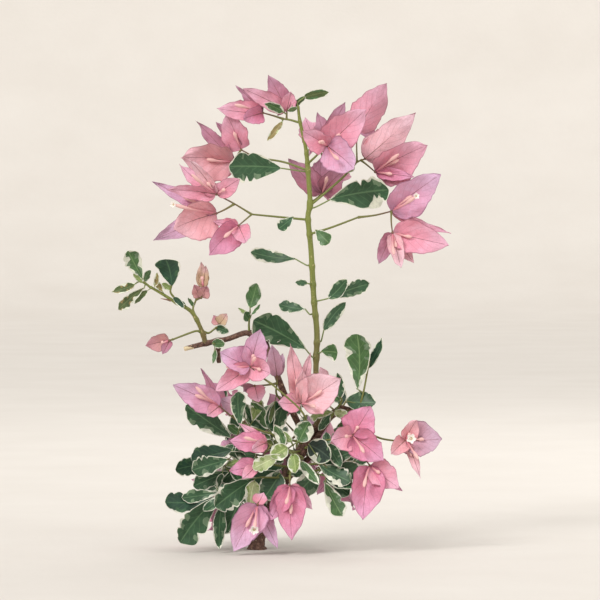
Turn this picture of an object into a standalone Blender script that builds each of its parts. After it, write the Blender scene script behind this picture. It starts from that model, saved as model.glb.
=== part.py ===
"""A small bougainvillea bush, rooted in level ground.

A short woody stem forks inside a low, dense crown of variegated leaves and papery pink
blooms. One tall green shoot rises from the fork and carries four flowering sprays, and a
woody arm with a green side shoot reaches out to the left.

Sizes are in millimetres and become metres where a mesh is made. X runs to the right,
Y away from the front and Z up. The origin is the middle of the flat cut at the ground.
"""

import math
import random

import bmesh
import bpy
from mathutils import Matrix, Vector
from mathutils.bvhtree import BVHTree

MM = 0.001
GAP = 0.3  # between a stem and the limb that carries it
CLEARANCE = 0.35  # kept between any two solids
GROUND_CLEARANCE = 1.0
STEM_COLLAR = 3.0  # a stem leaves its limb square for this far
SHARP_ANGLE = math.radians(60)  # limbs are shaded smooth up to this angle
WELD = 0.01  # a curve's caps are joined to its sides within this
BOX_MARGIN = 1.0  # boxes further apart than this aren't compared more closely

STEM_SIDES = 4
STEM_TAPER = 0.7
TWIG_SIDES = 3
TWIG_RADIUS = 1.0
TWIG_VARIES = (0.9, 1.15)
TWIG_TIP_RADIUS = 0.7
TWIG_SINK = 0.4
TWIG_OVERRUN = 1.0
SAME_PLACE = 1.5  # wood nearer than this needs no twig
NEAREST_WOOD = 6  # how many places a twig may start from
BENDS = (0.08, -0.08, 0.16, -0.16)  # of a twig's length, tried in turn to clear a neighbour

BLADE_THICKNESS = 0.03  # of a blade's length
BLADE_SIDES = 8
SMALL_BLADE_SIDES = 6
SMALL_BLADE = 26.0  # a shorter blade has fewer sides
# How far each ball is turned, by its sides, so that a blade has a point at its root and its tip.
POINTED = {8: Matrix(), 6: Matrix.Rotation(math.radians(30), 4, "Z")}
LEAF_BOW = 0.10  # of its length
LEAF_SINK = 0.7  # how far a leaf's root runs back into its twig
LEAF_TURN = 32  # degrees either way that a leaf may turn about its length
LEANS = (0.0, 0.14, -0.14, 0.28, -0.28, 0.42, -0.42)  # of a blade's length, tried like the bends

KNOT_RADIUS = 2.1
BRACT_SINK = -0.5  # bracts start apart from each other, inside their knot
BRACT_TURN = 22
TUBE_RADII = (0.8, 1.3)  # of a flower, at its foot and at its mouth
TUBE_START = 0.03

UP = Vector((0.0, 0.0, 1.0))
FRONT = Vector((0.0, -1.0, 0.0))
GOLDEN_ANGLE = math.radians(137.5)

# The rows below measure X from the plumb line under the tall shoot's lean. The stem meets the
# ground here, and the finished solids are moved so that this place is the origin.
FOOT = Vector((-48.0, 0.0, 0.0))

# Each finish: its colour and its roughness.
FINISHES = {
    "bark": ((0.16, 0.09, 0.07, 1.0), 0.85),
    "green_stem": ((0.25, 0.29, 0.07, 1.0), 0.5),
    "leaf": ((0.06, 0.16, 0.06, 1.0), 0.45),
    "bract": ((0.78, 0.32, 0.42, 1.0), 0.6),
}

# A blade's half width at five places round its rim from root to tip, as a share of the greatest.
OUTLINES = {
    "oval": (0.0, 0.72, 1.0, 0.62, 0.0),
    "heart": (0.0, 0.94, 1.0, 0.58, 0.0),
    "lobed": (0.0, 0.55, 0.86, 1.0, 0.0),
    "fan": (0.0, 0.30, 0.75, 1.0, 0.35),
    "strap": (0.0, 0.80, 1.0, 0.75, 0.0),
}

# Each limb: its finish, its sides and its way, as x, y, z and radius. The first place of a carried
# limb stands for its fork, and is worked out from its carrier.
LIMBS = {
    "trunk": ("bark", 8, [
        (-48, 0, 0, 9.5), (-48, 0, 4, 7.4), (-45, 0, 14, 5.8), (-36, 1, 38, 5.0),
        (-17, 2, 76, 4.7), (1, 1, 106, 4.5), (12, 0, 124, 4.2),
    ]),
    "main_shoot": ("green_stem", 6, [
        (12, 0, 124, 3.6), (14, 1, 140, 3.0), (11, 2, 176, 2.8), (12, 3, 215, 2.9),
        (9, 2, 250, 2.8), (6, 0, 300, 2.7), (3, -2, 332, 2.6), (5, -2, 345, 2.5),
        (4, -2, 365, 2.4), (1, 0, 400, 1.9), (-5, 1, 428, 1.6), (-7, 1, 444, 1.3),
    ]),
    "left_bough": ("bark", 6, [
        (-1, 0, 118, 3.4), (-18, -2, 150, 3.3), (-33, -2, 188, 3.1), (-43, 0, 219, 2.9),
    ]),
    "left_arm": ("bark", 6, [
        (-46, 0, 218, 2.8), (-59, 0, 217, 2.8), (-78, -1, 211, 2.6), (-98, -2, 207, 2.5),
        (-121, -3, 201, 2.3),
    ]),
    "left_shoot": ("green_stem", 6, [
        (-101, -2, 209, 2.3), (-103, -3, 219, 2.2), (-113, -6, 238, 2.0),
        (-129, -10, 248, 1.7), (-143, -14, 257, 1.5), (-155, -17, 264, 1.2),
    ]),
    "left_snag": ("bark", 6, [(-87, -2, 206, 2.4), (-87, -2, 199, 2.4), (-86, -2, 187, 2.3)]),
    "right_bough": ("bark", 6, [
        (14, -2, 116, 2.6), (24, -8, 130, 2.4), (34, -14, 143, 2.1), (46, -18, 141, 1.7),
    ]),
    "back_bough_left": ("bark", 6, [
        (4, 2, 70, 2.8), (-14, 18, 88, 2.5), (-34, 30, 104, 2.1), (-46, 36, 112, 1.7),
    ]),
    "back_bough_right": ("bark", 6, [
        (9, 2, 92, 2.8), (24, 18, 104, 2.4), (38, 30, 114, 2.0), (46, 35, 118, 1.7),
    ]),
}

# What carries each limb, and how far along that it starts (1 is the carrier's tip).
FORKS = {
    "main_shoot": ("trunk", 1.0),
    "left_bough": ("trunk", 0.90),
    "left_arm": ("left_bough", 0.96),
    "left_shoot": ("left_arm", 0.72),
    "left_snag": ("left_arm", 0.56),
    "right_bough": ("trunk", 0.86),
    "back_bough_left": ("trunk", 0.52),
    "back_bough_right": ("trunk", 0.70),
}


def spline(points, steps):
    """A smooth way through the points, steps places to a span. A point may hold a radius too."""
    vectors = [Vector(p) for p in points]
    padded = [2 * vectors[0] - vectors[1], *vectors, 2 * vectors[-1] - vectors[-2]]
    way = []
    for i in range(len(vectors) - 1):
        a, b, c, d = padded[i : i + 4]
        for k in range(steps):
            t = k / steps
            way.append(
                0.5 * (2 * b + (c - a) * t + (2 * a - 5 * b + 4 * c - d) * t * t
                       + (3 * b - a - 3 * c + d) * t ** 3)
            )
    return [*way, vectors[-1]]


def point_on(points, share):
    """The place, radius and direction at a share of the length of a limb."""
    places = [Vector(p[:3]) for p in points]
    spans = [(b - a).length for a, b in zip(places, places[1:])]
    left = share * sum(spans)
    for i, span in enumerate(spans):
        if left <= span or i == len(spans) - 1:
            t = min(left / span, 1.0)
            radius = points[i][3] * (1 - t) + points[i + 1][3] * t
            return places[i].lerp(places[i + 1], t), radius, (places[i + 1] - places[i]).normalized()
        left -= span


def stem_root(way, share, toward):
    """Two places that start a stem, GAP clear of a limb: square to its side, or in line at its tip."""
    place, radius, along = point_on(way, share)
    if share == 1.0:
        return [place + along * GAP, place + along * (GAP + STEM_COLLAR)]
    out = square_to(Vector(toward) - place, along)
    return [place + out * (radius + GAP), place + out * (radius + GAP + STEM_COLLAR)]


def own_material(obj, finish):
    colour, roughness = FINISHES[finish]
    made = bpy.data.materials.new(f"{obj.name}_{finish}")
    made.use_nodes = True
    made.diffuse_color = colour
    shader = made.node_tree.nodes["Principled BSDF"]
    shader.inputs["Base Color"].default_value = colour
    shader.inputs["Roughness"].default_value = roughness
    shader.inputs["Metallic"].default_value = 0.0
    obj.data.materials.clear()
    obj.data.materials.append(made)


def curve_tube(name, way, sides, collection):
    """A closed mesh round the way: a curve with a radius at each point, with its caps welded."""
    curve = bpy.data.curves.new(name, "CURVE")
    curve.dimensions = "3D"
    curve.bevel_depth = 1.0
    curve.bevel_resolution = (sides - 4) // 2
    curve.use_fill_caps = True
    line = curve.splines.new("POLY")
    line.points.add(len(way) - 1)
    for point, place in zip(line.points, way):
        point.co = (*place[:3], 1.0)
        point.radius = place[3]
    bent = bpy.data.objects.new(name, curve)
    collection.objects.link(bent)
    bpy.context.view_layer.update()
    mesh = bpy.data.meshes.new_from_object(bent.evaluated_get(bpy.context.evaluated_depsgraph_get()))
    bpy.data.objects.remove(bent)
    bm = bmesh.new()
    bm.from_mesh(mesh)
    bpy.data.meshes.remove(mesh)
    bmesh.ops.remove_doubles(bm, verts=bm.verts[:], dist=WELD)
    bmesh.ops.recalc_face_normals(bm, faces=bm.faces[:])
    return bm


def make_limb(name, bush):
    """A tapering limb that keeps GAP clear of the one that carries it."""
    finish, sides, points = LIMBS[name]
    bm = curve_tube(name, bush.limb_way(name, points), sides, bush.collection)
    bush.take(name, bm)
    to_plant_frame(bm)
    mesh = bpy.data.meshes.new(name)
    bm.to_mesh(mesh)
    bm.free()
    limb = bpy.data.objects.new(name, mesh)
    bush.collection.objects.link(limb)
    mesh.shade_smooth()
    mesh.set_sharp_from_angle(angle=SHARP_ANGLE)
    own_material(limb, finish)


def twig_mesh(points, start_radius, end_radius, sides=TWIG_SIDES):
    """A slim tapering tube along the points, drawn out ring by ring from a capped circle."""
    ways = [Vector(p) for p in points]
    count = len(ways) - 1
    turn = (ways[1] - ways[0]).to_track_quat("Z", "X")
    stations = []
    for i, place in enumerate(ways):
        ahead = (ways[min(i + 1, count)] - ways[max(i - 1, 0)]).normalized()
        here = turn @ UP
        turn = here.rotation_difference(ahead) @ turn
        radius = start_radius + (end_radius - start_radius) * i / count
        stations.append(Matrix.LocRotScale(place, turn, Vector((radius,) * 3)))
    bm = bmesh.new()
    bmesh.ops.create_circle(bm, cap_ends=True, segments=sides, radius=1.0, matrix=stations[0])
    caps = bm.faces[:]
    for before, after in zip(stations, stations[1:]):
        drawn = bmesh.ops.extrude_face_region(bm, geom=caps[-1:])["geom"]
        ring = [g for g in drawn if isinstance(g, bmesh.types.BMVert)]
        caps += [g for g in drawn if isinstance(g, bmesh.types.BMFace)]
        bmesh.ops.transform(bm, matrix=after @ before.inverted(), verts=ring)
    bmesh.ops.delete(bm, geom=caps[1:-1], context="FACES_ONLY")
    bmesh.ops.recalc_face_normals(bm, faces=bm.faces[:])
    return bm


def square_to(vector, axis):
    """The part of a vector that is square to an axis, made one long."""
    return (vector - axis * vector.dot(axis)).normalized()


def facing_near(axis, turn):
    """The way a blade faces: to the front, turned about its own axis by some degrees."""
    front = FRONT if abs(FRONT.dot(axis)) < 0.9 else UP
    return Matrix.Rotation(math.radians(turn), 3, axis) @ square_to(front, axis)


def half_width_at(kind, share):
    """A blade's half width at a share of the way round its rim, as a share of the greatest."""
    widths = OUTLINES[kind]
    place = share * (len(widths) - 1)
    i = min(int(place), len(widths) - 2)
    return widths[i] + (widths[i + 1] - widths[i]) * (place - i)


def blade_mesh(kind, root, tip, width, facing, bow=LEAF_BOW, sink=LEAF_SINK):
    """A leaf or a bract: a flat double cone whose rim follows the outline and whose spine is bowed."""
    root = Vector(root)
    along = (Vector(tip) - root).normalized()
    root -= along * sink
    length = (Vector(tip) - root).length
    normal = square_to(facing, along)
    across = normal.cross(along)
    sides = BLADE_SIDES if length > SMALL_BLADE else SMALL_BLADE_SIDES
    bm = bmesh.new()
    bmesh.ops.create_uvsphere(bm, u_segments=sides, v_segments=2, radius=1.0, matrix=POINTED[sides])
    for vert in bm.verts:
        x, y, z = vert.co
        round_rim = math.acos(max(-1.0, min(1.0, -x))) / math.pi
        on_rim = abs(z) < 0.5
        side = math.copysign(half_width_at(kind, round_rim), y) * width / 2 if on_rim else 0.0
        lift = z * BLADE_THICKNESS * length / 2
        share = (1 + x) / 2
        spine = 4 * share * (1 - share) * bow * length
        vert.co = root + along * share * length + across * side + normal * (lift - spine)
    return bm


def knot_mesh(place, radius=KNOT_RADIUS):
    bm = bmesh.new()
    bmesh.ops.create_uvsphere(bm, u_segments=4, v_segments=2, radius=radius)
    bmesh.ops.translate(bm, vec=Vector(place), verts=bm.verts[:])
    return bm


def swollen_tree(bm, by):
    """A search tree of the mesh with every point moved out by the clearance."""
    bm.normal_update()
    places = [v.co + v.normal * by for v in bm.verts]
    bm.verts.index_update()
    return BVHTree.FromPolygons(places, [[v.index for v in f.verts] for f in bm.faces])


class Bush:
    """The solids made so far, with what each one occupies."""

    def __init__(self):
        self.collection = bpy.data.collections.new("bougainvillea_bush")
        bpy.context.scene.collection.children.link(self.collection)
        self.taken = []
        self.ways = {}
        self.skipped = []
        self.blocker = None

    def limb_way(self, name, points):
        """A limb's smooth way with its radii. A carried limb starts square to its carrier's side."""
        first, *rest = [Vector(p) for p in points]
        if name in FORKS:
            carrier, share = FORKS[name]
            collar = stem_root(self.ways[carrier], share, rest[0].to_3d())
            start, knee = [Vector((*place, first[3])) for place in collar]
        else:
            start, knee = first, rest.pop(0)
        self.ways[name] = [start, *spline([knee, *rest], 2)]
        return self.ways[name]

    def is_clear(self, name, bm, by=CLEARANCE):
        """True where the mesh stays clear of every solid but its own, and above the ground."""
        low, high = box_of(bm)
        if low.z < GROUND_CLEARANCE:
            return False
        tree = None
        for owner, other_low, other_high, other in self.taken:
            if owner == name:
                continue
            if any(max(low[i] - other_high[i], other_low[i] - high[i]) > BOX_MARGIN for i in range(3)):
                continue
            tree = tree or swollen_tree(bm, by)
            if tree.overlap(other):
                self.blocker = owner
                return False
        return True

    def take(self, name, bm):
        self.taken.append((name, *box_of(bm), swollen_tree(bm, 0.0)))


def box_of(bm):
    places = [v.co for v in bm.verts]
    low = Vector([min(p[i] for p in places) for i in range(3)])
    high = Vector([max(p[i] for p in places) for i in range(3)])
    return low, high


def bent_ways(start, root):
    """Ways for a twig: straight, then bent more and more to each side."""
    reach = root - start
    ends = twig_ends(start, root)
    yield ends
    for bend in BENDS:
        for side in (FRONT, UP):
            yield [ends[0], start + reach * 0.5 + side * reach.length * bend, ends[1]]


def twig_ends(start, root):
    """The two ends of a twig, sunk into the wood that it leaves and into what it bears."""
    along = (root - start).normalized()
    return [start - along * TWIG_SINK, root + along * TWIG_OVERRUN]


class Mass:
    """One node of twigs, leaves and blooms that grow from one stem."""

    def __init__(self, bush, name, finish, stem, radius):
        self.bush = bush
        self.name = name
        self.finish = finish
        self.rng = random.Random(name)
        self.pieces = []
        self.wood = []
        self.lay_stem(stem, radius)

    def keep(self, bm):
        self.pieces.append(bm)
        self.bush.take(self.name, bm)

    def keep_if_clear(self, bm):
        clear = self.bush.is_clear(self.name, bm)
        if clear:
            self.keep(bm)
        else:
            bm.free()
        return clear

    def lay_stem(self, points, radius):
        way = [Vector(points[0]), *spline(points[1:], 2)]
        stem = twig_mesh(way, radius, max(radius * STEM_TAPER, TWIG_TIP_RADIUS), STEM_SIDES)
        if not self.bush.is_clear(self.name, stem, by=0.0):
            self.skip("stem", points[0])
        self.keep(stem)
        self.wood += way[2:] or way[1:]

    def lay_twig(self, root):
        """A twig to the place from the nearest wood already laid. None where it would touch something."""
        root = Vector(root)
        near = sorted(self.wood, key=lambda place: (place - root).length)
        if (near[0] - root).length < SAME_PLACE:
            return near[0]
        radius = TWIG_RADIUS * self.rng.uniform(*TWIG_VARIES)
        for start in near[:NEAREST_WOOD]:
            for way in bent_ways(start, root):
                bm = twig_mesh(way, radius, TWIG_TIP_RADIUS)
                if self.bush.is_clear(self.name, bm):
                    self.keep(bm)
                    self.wood += [way[0].lerp(way[-1], 0.5), root]
                    return root
                bm.free()
        return None

    def add_blade(self, kind, root, tip, width, turn, sink=LEAF_SINK, leans=LEANS):
        """A blade from the root, leaned a little forward or back where something is in its way."""
        root = Vector(root)
        tip = Vector(tip)
        reach = (tip - root).length
        facing = facing_near((tip - root).normalized(), turn)
        seen_width = width / math.cos(math.radians(turn))
        for lean in leans:
            bm = blade_mesh(kind, root, tip - FRONT * reach * lean, seen_width, facing, sink=sink)
            if self.keep_if_clear(bm):
                return True
        return False

    def skip(self, what, place):
        self.bush.skipped.append(f"{self.name} {what} at {tuple(place)} by {self.bush.blocker}")

    def leaf(self, kind, root, tip, width, turn=None):
        turn = self.rng.uniform(-LEAF_TURN, LEAF_TURN) if turn is None else turn
        reached = self.lay_twig(root)
        if reached is None:
            self.skip("twig", root)
        elif not self.add_blade(kind, reached, tip, width, turn):
            self.skip("leaf", root)

    def bloom(self, base, bracts, flowers=()):
        """Bracts from one knot, with slender flower tubes among them."""
        reached = self.lay_twig(base)
        if reached is None or not self.keep_if_clear(knot_mesh(reached)):
            self.skip("bloom", base)
            return
        for tip, width in bracts:
            turn = self.rng.uniform(-BRACT_TURN, BRACT_TURN)
            if not self.add_blade("heart", reached, tip, width, turn, BRACT_SINK):
                self.skip("bract", tip)
        for tip in flowers:
            start = reached.lerp(Vector(tip), TUBE_START)
            self.keep_if_clear(twig_mesh([start, tip], *TUBE_RADII))

    def fuse(self):
        """Joins the pieces into one closed body, which becomes the node."""
        others = bpy.data.collections.new(f"{self.name}_pieces")
        bpy.context.scene.collection.children.link(others)
        objects = [self.as_object(i, bm) for i, bm in enumerate(self.pieces)]
        body = objects.pop(0)
        self.bush.collection.objects.link(body)
        for obj in objects:
            others.objects.link(obj)
        union = body.modifiers.new("fuse", "BOOLEAN")
        union.operation = "UNION"
        union.operand_type = "COLLECTION"
        union.collection = others
        union.solver = "MANIFOLD"
        bpy.context.view_layer.update()
        seen = body.evaluated_get(bpy.context.evaluated_depsgraph_get())
        fused = bpy.data.meshes.new_from_object(seen)
        for obj in [body, *objects]:
            bpy.data.objects.remove(obj)
        bpy.data.collections.remove(others)
        tidy_body(fused)
        fused.name = self.name
        node = bpy.data.objects.new(self.name, fused)
        self.bush.collection.objects.link(node)
        own_material(node, self.finish)

    def as_object(self, number, bm):
        mesh = bpy.data.meshes.new(f"{self.name}_{number}")
        bm.to_mesh(mesh)
        bm.free()
        return bpy.data.objects.new(mesh.name, mesh)


def to_plant_frame(bm):
    """Moves a mesh in millimetres so that the foot is the origin, and brings it to metres."""
    bmesh.ops.translate(bm, vec=-FOOT, verts=bm.verts[:])
    bmesh.ops.scale(bm, vec=(MM,) * 3, verts=bm.verts[:])


def connected_groups(bm):
    """The mesh's points in connected groups, the smallest group first."""
    groups = []
    left = set(bm.verts)
    while left:
        group = {left.pop()}
        front = list(group)
        while front:
            for edge in front.pop().link_edges:
                fresh = left.intersection(edge.verts)
                left -= fresh
                group |= fresh
                front += fresh
        groups.append(group)
    return sorted(groups, key=len)


def tidy_body(mesh):
    """Drops loose scraps and sealed inner skins, and brings the mesh to metres."""
    bm = bmesh.new()
    bm.from_mesh(mesh)
    bmesh.ops.triangulate(bm, faces=bm.faces[:])
    for scrap in connected_groups(bm)[:-1]:
        bmesh.ops.delete(bm, geom=list(scrap), context="VERTS")
    to_plant_frame(bm)
    bm.to_mesh(mesh)
    bm.free()
    mesh.update()


PETIOLE_RADIUS = 0.9
SPRAY_STEM_RADIUS = 1.3

# A single leaf on the main shoot: name, share of the shoot's length, the petiole's end,
# then each blade as its kind, tip, width and turn.
SHOOT_LEAVES = [
    ("leaf_top", 1.0, (0, -1, 453), [("strap", (24, -8, 458), 10, 10), ("oval", (-14, 2, 442), 6, 0)]),
    ("leaf_high_left", 0.795, (-25, -12, 382), [("lobed", (-75, -24, 383), 30, -14)]),
    ("leaf_high_right", 0.685, (26, -12, 351), [("lobed", (83, -28, 360), 31, 18)]),
    ("leaf_mid_left", 0.502, (-10, 8, 291), [("lobed", (-54, 18, 297), 14, 20)]),
    ("leaf_small_left", 0.445, (2, -6, 267), [("oval", (-9, -12, 268), 7, 0)]),
    ("leaf_low_left", 0.35, (0, 5, 241), [("lobed", (-26, 14, 245), 12, 24)]),
    ("leaf_pair_right", 0.39, (24, -8, 252), [
        ("oval", (41, -22, 271), 14, -18), ("lobed", (66, 4, 265), 15, 20)]),
    ("leaf_low_right", 0.265, (19, 10, 220), [("oval", (41, 22, 247), 13, 22)]),
    ("leaf_foot_right", 0.228, (17, -6, 199), [("fan", (32, -14, 198), 17, 10)]),
    ("leaf_foot_left", 0.215, (0, -9, 202), [("lobed", (-51, -26, 229), 30, -16)]),
]

# A node of leaves and blooms: name, finish, carrier and share (1 is its tip), the stem's way,
# its leaves (kind, root, tip, width) and its blooms (base, bracts as tip and width, flower tips).
SPRAYS = [
    ("spray_top_left", "bract", "main_shoot", 0.95, [(-15, 3, 430), (-22, 8, 431)], [
        ("strap", (-23, 6, 428), (-38, -2, 409), 7),
        ("strap", (-22, 4, 438), (-40, -8, 446), 9),
    ], [
        ((-18, 6, 440), [((-37, 20, 475), 20), ((-62, 0, 461), 16), ((-14, -10, 458), 15),
                         ((-30, 38, 452), 20)], []),
        ((-42, 16, 437), [((-88, 8, 442), 20), ((-71, 32, 465), 8), ((-62, -2, 431), 17),
                          ((-66, 46, 442), 18)], [(-70, 0, 445)]),
    ]),
    ("spray_left_upper", "bract", "main_shoot", 0.80, [(-22, 10, 388), (-50, 18, 392)], [], [
        ((-64, 22, 400), [((-79, 14, 436), 26), ((-90, 32, 428), 12)], []),
        ((-72, 12, 388), [((-124, 2, 392), 34), ((-110, 34, 429), 15), ((-96, 44, 376), 24)], []),
    ]),
    ("spray_left_lower", "bract", "main_shoot", 0.645, [(-24, -8, 333), (-53, -19, 336)], [
        ("lobed", (-12, -8, 333), (-27, -18, 321), 12),
    ], [
        ((-88, -28, 356), [((-125, -8, 385), 16), ((-115, -42, 391), 11), ((-137, -34, 359), 14),
                           ((-65, -38, 371), 17)], [(-112, -46, 376)]),
        ((-88, -22, 337), [((-131, -34, 322), 38), ((-151, 0, 310), 22), ((-153, -14, 369), 14)],
         [(-130, -44, 346)]),
        ((-66, -30, 325), [((-96, -44, 296), 26), ((-58, -50, 308), 18), ((-91, -24, 329), 10)],
         [(-80, -52, 314)]),
    ]),
    ("spray_right_centre", "bract", "main_shoot", 0.82, [(11, -14, 394), (18, -30, 402)], [], [
        ((22, -34, 404), [((-2, -48, 418), 21), ((60, -46, 440), 33), ((49, -62, 381), 32),
                         ((12, -12, 439), 15), ((41, -8, 448), 20)], [(33, -60, 391), (16, -52, 409)]),
    ]),
    ("spray_right_behind", "bract", "main_shoot", 0.70, [(10, 12, 350), (15, 24, 354)], [], [
        ((17, 26, 356), [((-17, 22, 391), 22), ((16, 46, 392), 24), ((38, 30, 379), 24)],
         [(22, 12, 373)]),
    ]),
    ("spray_behind", "bract", "main_shoot", 0.85, [(4, 24, 400), (10, 44, 404)], [], [
        ((14, 54, 406), [((0, 78, 432), 26), ((46, 72, 424), 28), ((2, 90, 400), 22)], []),
        ((20, 62, 378), [((48, 84, 372), 26), ((10, 92, 362), 24), ((24, 48, 350), 18)], []),
    ]),
    ("spray_right_upper", "bract", "main_shoot", 0.695, [(35, -3, 370), (45, 0, 380), (52, 5, 388)], [
        ("oval", (42, -4, 378), (48, -12, 384), 8),
    ], [
        ((52, 26, 418), [((82, 24, 467), 30), ((70, 58, 446), 24)], []),
        ((60, 10, 391), [((111, 20, 437), 31), ((74, 32, 422), 14)], []),
        ((70, -10, 378), [((122, -22, 403), 34), ((106, -32, 374), 12), ((110, 10, 398), 22)],
         [(93, -30, 396)]),
    ]),
    ("spray_right_lower", "bract", "main_shoot", 0.60, [(27, -8, 323), (53, -16, 333)], [
        ("lobed", (11, -8, 320), (24, -18, 307), 15),
    ], [
        ((86, -14, 339), [((135, -26, 374), 33), ((145, -12, 316), 9), ((118, 14, 352), 26)],
         [(110, -32, 354)]),
        ((87, -24, 318), [((142, -38, 306), 30), ((108, -26, 288), 15), ((95, -46, 284), 15),
                          ((73, -36, 287), 15)], [(88, -48, 297)]),
    ]),
    ("left_tip_leaves", "leaf", "left_shoot", 1.0, [(-160, -19, 268), (-166, -21, 269)], [
        ("lobed", (-162, -20, 272), (-176, -32, 300), 17),
        ("strap", (-170, -20, 266), (-194, -12, 259), 9),
        ("lobed", (-160, -22, 263), (-184, -38, 242), 11),
        ("oval", (-160, -17, 270), (-153, -8, 280), 7),
    ], []),
    ("left_fan_leaf", "leaf", "left_shoot", 0.62, [(-134, -15, 258), (-133, -17, 265)], [
        ("fan", (-133, -17, 266), (-138, -25, 292), 24),
        ("oval", (-134, -15, 261), (-142, -22, 267), 7),
    ], []),
    ("left_bud_upper", "bract", "left_shoot", 0.30, [(-112, -1, 241), (-109, 3, 250)], [
        ("strap", (-112, 0, 244), (-117, -4, 252), 4),
    ], [
        ((-104, 5, 256), [((-103, 8, 288), 15), ((-96, -4, 264), 10), ((-112, 12, 262), 9)], []),
    ]),
    ("left_bud_lower", "bract", "left_shoot", 0.12, [(-110, -8, 219), (-132, -12, 211)], [], [
        ((-135, -12, 210), [((-159, -16, 205), 17), ((-142, -20, 197), 9)], []),
    ]),
    ("left_bud_inner", "bract", "left_shoot", 0.10, [(-96, 2, 217), (-89, 6, 222)], [
        ("oval", (-88, 6, 222), (-76, 2, 218), 9),
    ], [
        ((-86, 8, 225), [((-79, 2, 236), 11), ((-92, 14, 234), 10)], []),
    ]),
    ("left_arm_leaves", "leaf", "left_arm", 0.60, [(-87, -8, 208), (-88, -10, 207)], [
        ("oval", (-92, -11, 207), (-80, -16, 207), 10),
        ("strap", (-90, -9, 200), (-92, -12, 187), 5),
    ], []),
    ("left_arm_sprig", "leaf", "left_arm", 0.16, [(-56, -2, 226), (-55, -2, 238)], [
        ("oval", (-55, -2, 243), (-48, -6, 267), 15),
        ("oval", (-56, -3, 230), (-60, -10, 238), 9),
        ("strap", (-56, -2, 236), (-67, -4, 242), 4),
    ], []),
    ("bloom_left_high", "bract", "trunk", 0.96, [(2, -44, 131), (-6, -58, 145), (-33, -60, 169)], [], [
        ((-54, -54, 186), [((-44, -60, 223), 24), ((-84, -62, 201), 25), ((-34, -66, 180), 24),
                           ((-89, -64, 162), 20), ((-60, -26, 196), 20)],
         [(-78, -62, 186), (-49, -68, 196)]),
    ]),
    ("bloom_left_slim", "bract", "left_bough", 0.30, [(-28, -22, 156), (-28, -30, 168)], [], [
        ((-28, -31, 175), [((-33, -36, 207), 15), ((-22, -20, 198), 10)], []),
        ((-50, -36, 166), [((-46, -42, 150), 18), ((-62, -22, 158), 16)], []),
    ]),
    ("bloom_left_far", "bract", "trunk", 0.84, [(-28, -30, 116), (-58, -38, 126)], [], [
        ((-85, -42, 146), [((-131, -52, 168), 25), ((-103, -31, 183), 8), ((-96, -57, 138), 13)],
         [(-108, -56, 166)]),
        ((-62, -34, 142), [((-85, -24, 152), 20)], []),
    ]),
    ("bloom_left_front", "bract", "trunk", 0.78, [(-20, -42, 100), (-34, -58, 108)], [], [
        ((-38, -60, 111), [((-75, -64, 113), 19), ((-66, -50, 130), 9), ((-52, -74, 104), 12)],
         [(-60, -74, 117)]),
        ((-48, -58, 89), [((-75, -62, 83), 17), ((-62, -74, 76), 12)], []),
    ]),
    ("bloom_low_left", "bract", "trunk", 0.36, [(-42, -40, 56), (-46, -62, 55)], [], [
        ((-47, -68, 50), [((-70, -78, 5), 30), ((-41, -62, 62), 14), ((-27, -72, 7), 15),
                          ((-52, -46, 12), 22)], [(-50, -84, 27)]),
    ]),
    ("bloom_low_centre", "bract", "trunk", 0.60, [(-14, -44, 86), (-15, -62, 78)], [], [
        ((-15, -66, 69), [((-34, -74, 35), 20), ((-13, -78, 16), 28), ((8, -62, 45), 14),
                          ((-14, -46, 30), 22)], [(-19, -82, 52)]),
    ]),
    ("bloom_right_pair", "bract", "trunk", 0.82, [(20, -42, 112), (42, -56, 114)], [], [
        ((47, -58, 118), [((65, -60, 147), 30), ((26, -64, 113), 25), ((77, -68, 94), 29)],
         [(58, -74, 102), (40, -72, 118)]),
        ((64, -54, 88), [((57, -70, 35), 31), ((93, -64, 67), 24), ((97, -46, 62), 12),
                         ((70, -40, 50), 20)], [(58, -72, 68)]),
    ]),
    ("bloom_right_far", "bract", "right_bough", 0.97, [
        (60, -30, 122), (74, -34, 114), (90, -34, 111),
    ], [], [
        ((100, -34, 112), [((136, -34, 113), 33), ((86, -46, 99), 17), ((111, -42, 132), 15),
                           ((113, -48, 75), 9), ((116, -10, 104), 22)], [(112, -50, 98)]),
    ]),
    ("bloom_centre", "bract", "main_shoot", 0.02, [(8, -26, 138), (-2, -38, 146)], [], [
        ((-4, -42, 149), [((35, -50, 174), 37), ((-14, -44, 208), 16), ((6, -32, 199), 12),
                          ((-2, -56, 182), 12), ((-27, -46, 150), 18), ((14, -24, 176), 20)],
         [(10, -60, 146)]),
    ]),
]

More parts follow.
